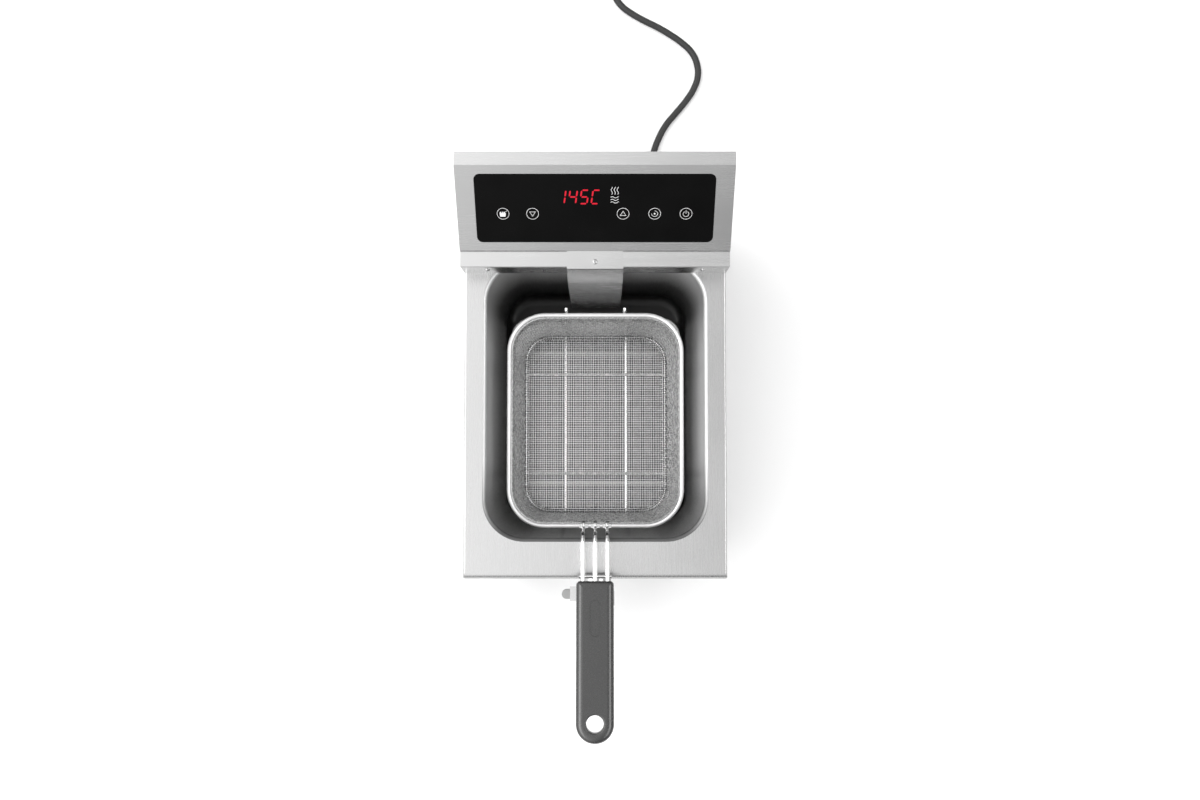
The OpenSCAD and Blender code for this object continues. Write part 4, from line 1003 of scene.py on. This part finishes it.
def lit_digits(shape):
    """The readout in slanted bars with pointed ends."""
    half = DIGIT_H / 2
    ends = {
        "a": [(0, DIGIT_H), (DIGIT_W, DIGIT_H)],
        "b": [(DIGIT_W, half), (DIGIT_W, DIGIT_H)],
        "c": [(DIGIT_W, 0), (DIGIT_W, half)],
        "d": [(0, 0), (DIGIT_W, 0)],
        "e": [(0, 0), (0, half)],
        "f": [(0, half), (0, DIGIT_H)],
        "g": [(0, half), (DIGIT_W, half)],
    }
    for i, digit in enumerate(READOUT):
        for bar in BARS[digit]:
            start, end = (Vector(point) for point in ends[bar])
            way = (end - start).normalized()
            side = Vector((-way.y, way.x)) * BAR_W / 2
            tip = way * BAR_W / 2
            a = start + way * BAR_GAP
            b = end - way * BAR_GAP
            outline = [a, a + tip - side, b - tip - side, b, b - tip + side, a + tip + side]
            x = READOUT_X + i * DIGIT_PITCH
            slanted = [(x + p.x + DIGIT_SLANT * p.y, READOUT_UP + p.y) for p in outline]
            shape.prism(slanted, PRINT_T, on_glass)


def make_symbols():
    white = Shape()
    key_symbols(white)
    heat_symbol(white)
    white.piece("panel_symbols", WHITE_PRINT, "housing", smooth=False)
    lit = Shape()
    lit_digits(lit)
    lit.piece("lit_digits", LED_RED, "housing", smooth=False)


make_symbols()


# ---- Floor, light and world ----

WHITE = (*grey(1), 1)
FLOOR_REACH = 30
FLOOR_TONE = 0.8
FLOOR_TONE_IN_METAL = 0.44
FLOOR_LIFT = 0.16


def make_floor():
    """A white floor that keeps the object's shadow. It glows a little where it is seen,
    and is darker where metal or glass shows it, so that it is plain white there too."""
    data = bpy.data.meshes.new("floor")
    corners = [(x * FLOOR_REACH, y * FLOOR_REACH, 0) for x, y in ((-1, -1), (1, -1), (1, 1), (-1, 1))]
    data.from_pydata(corners, [], [(0, 1, 2, 3)])
    floor = link(bpy.data.objects.new("floor", data))
    look = Look(
        "floor white", {"Roughness": 0.9, "Specular IOR Level": 0.0, "Emission Color": WHITE}
    )
    ray = look.add("ShaderNodeLightPath").outputs
    in_metal = calculate(look.tree, "MAXIMUM", ray["Is Glossy Ray"], ray["Is Transmission Ray"])
    seen = calculate(look.tree, "MAXIMUM", ray["Is Camera Ray"], in_metal)
    look.feed("Emission Strength", calculate(look.tree, "MULTIPLY", seen, FLOOR_LIFT))
    darker = FLOOR_TONE_IN_METAL - FLOOR_TONE
    look.feed("Base Color", calculate(look.tree, "MULTIPLY_ADD", in_metal, darker, FLOOR_TONE))
    data.materials.append(look.material)


ROOM_LEFT = 1.34
ROOM_RIGHT = 0.44
ROOM_FRONT_SHARE = 0.42
ROOM_LOW_SHARE = 0.62
PANEL_LIGHT = 2.6


def make_world():
    """A studio room: bright on the left, dimmer on the right, in front and low down, with
    a lit panel high on either side. The camera itself sees plain white."""
    world = bpy.data.worlds.new("studio")
    bpy.context.scene.world = world
    world.use_nodes = True
    tree = world.node_tree

    def ramp(socket, start, end, low, high):
        made = add_node(
            tree,
            "ShaderNodeMapRange",
            {"Value": socket, "From Min": start, "From Max": end, "To Min": low, "To Max": high},
            interpolation_type="SMOOTHSTEP",
        )
        return made.outputs["Result"]

    def product(*parts):
        whole = parts[0]
        for part in parts[1:]:
            whole = calculate(tree, "MULTIPLY", whole, part)
        return whole

    where = add_node(tree, "ShaderNodeTexCoord").outputs["Generated"]
    way = add_node(tree, "ShaderNodeSeparateXYZ", {"Vector": where}).outputs
    room = product(
        ramp(way["X"], -0.3, 0.3, ROOM_LEFT, ROOM_RIGHT),
        ramp(way["Y"], -1.0, -0.72, ROOM_FRONT_SHARE, 1),
        ramp(way["Z"], 0, 0.4, ROOM_LOW_SHARE, 1),
    )
    aside = calculate(tree, "ABSOLUTE", way["X"])
    panels = product(
        ramp(aside, 0.4, 0.55, 0, PANEL_LIGHT),
        ramp(aside, 0.78, 0.93, 1, 0),
        ramp(way["Z"], 0.5, 0.68, 0, 1),
    )
    light = calculate(tree, "ADD", room, panels)
    by_camera = add_node(tree, "ShaderNodeLightPath").outputs["Is Camera Ray"]
    shown = add_node(tree, "ShaderNodeMix", {"Factor": by_camera, "A": light, "B": 1.0})
    background = tree.nodes["Background"]
    background.inputs["Color"].default_value = WHITE
    tree.links.new(shown.outputs["Result"], background.inputs["Strength"])


LAMP_PLACE = (-0.45, 0.55, 2.4)
LAMP_AIM = Vector((0, 0.05, 0.25))
LAMP_W = 0.9
LAMP_WATTS = 13


def make_lamp():
    """A square softbox high behind the fryer on the left. Metal doesn't mirror it."""
    data = bpy.data.lights.new("softbox", "AREA")
    data.shape = "SQUARE"
    data.size = LAMP_W
    data.energy = LAMP_WATTS
    lamp = link(bpy.data.objects.new("softbox", data))
    lamp.location = LAMP_PLACE
    lamp.visible_glossy = False
    aim = LAMP_AIM - lamp.location
    lamp.rotation_euler = aim.to_track_quat("-Z", "Y").to_euler()


make_floor()
make_world()
make_lamp()
bpy.context.scene.view_settings.view_transform = "Standard"
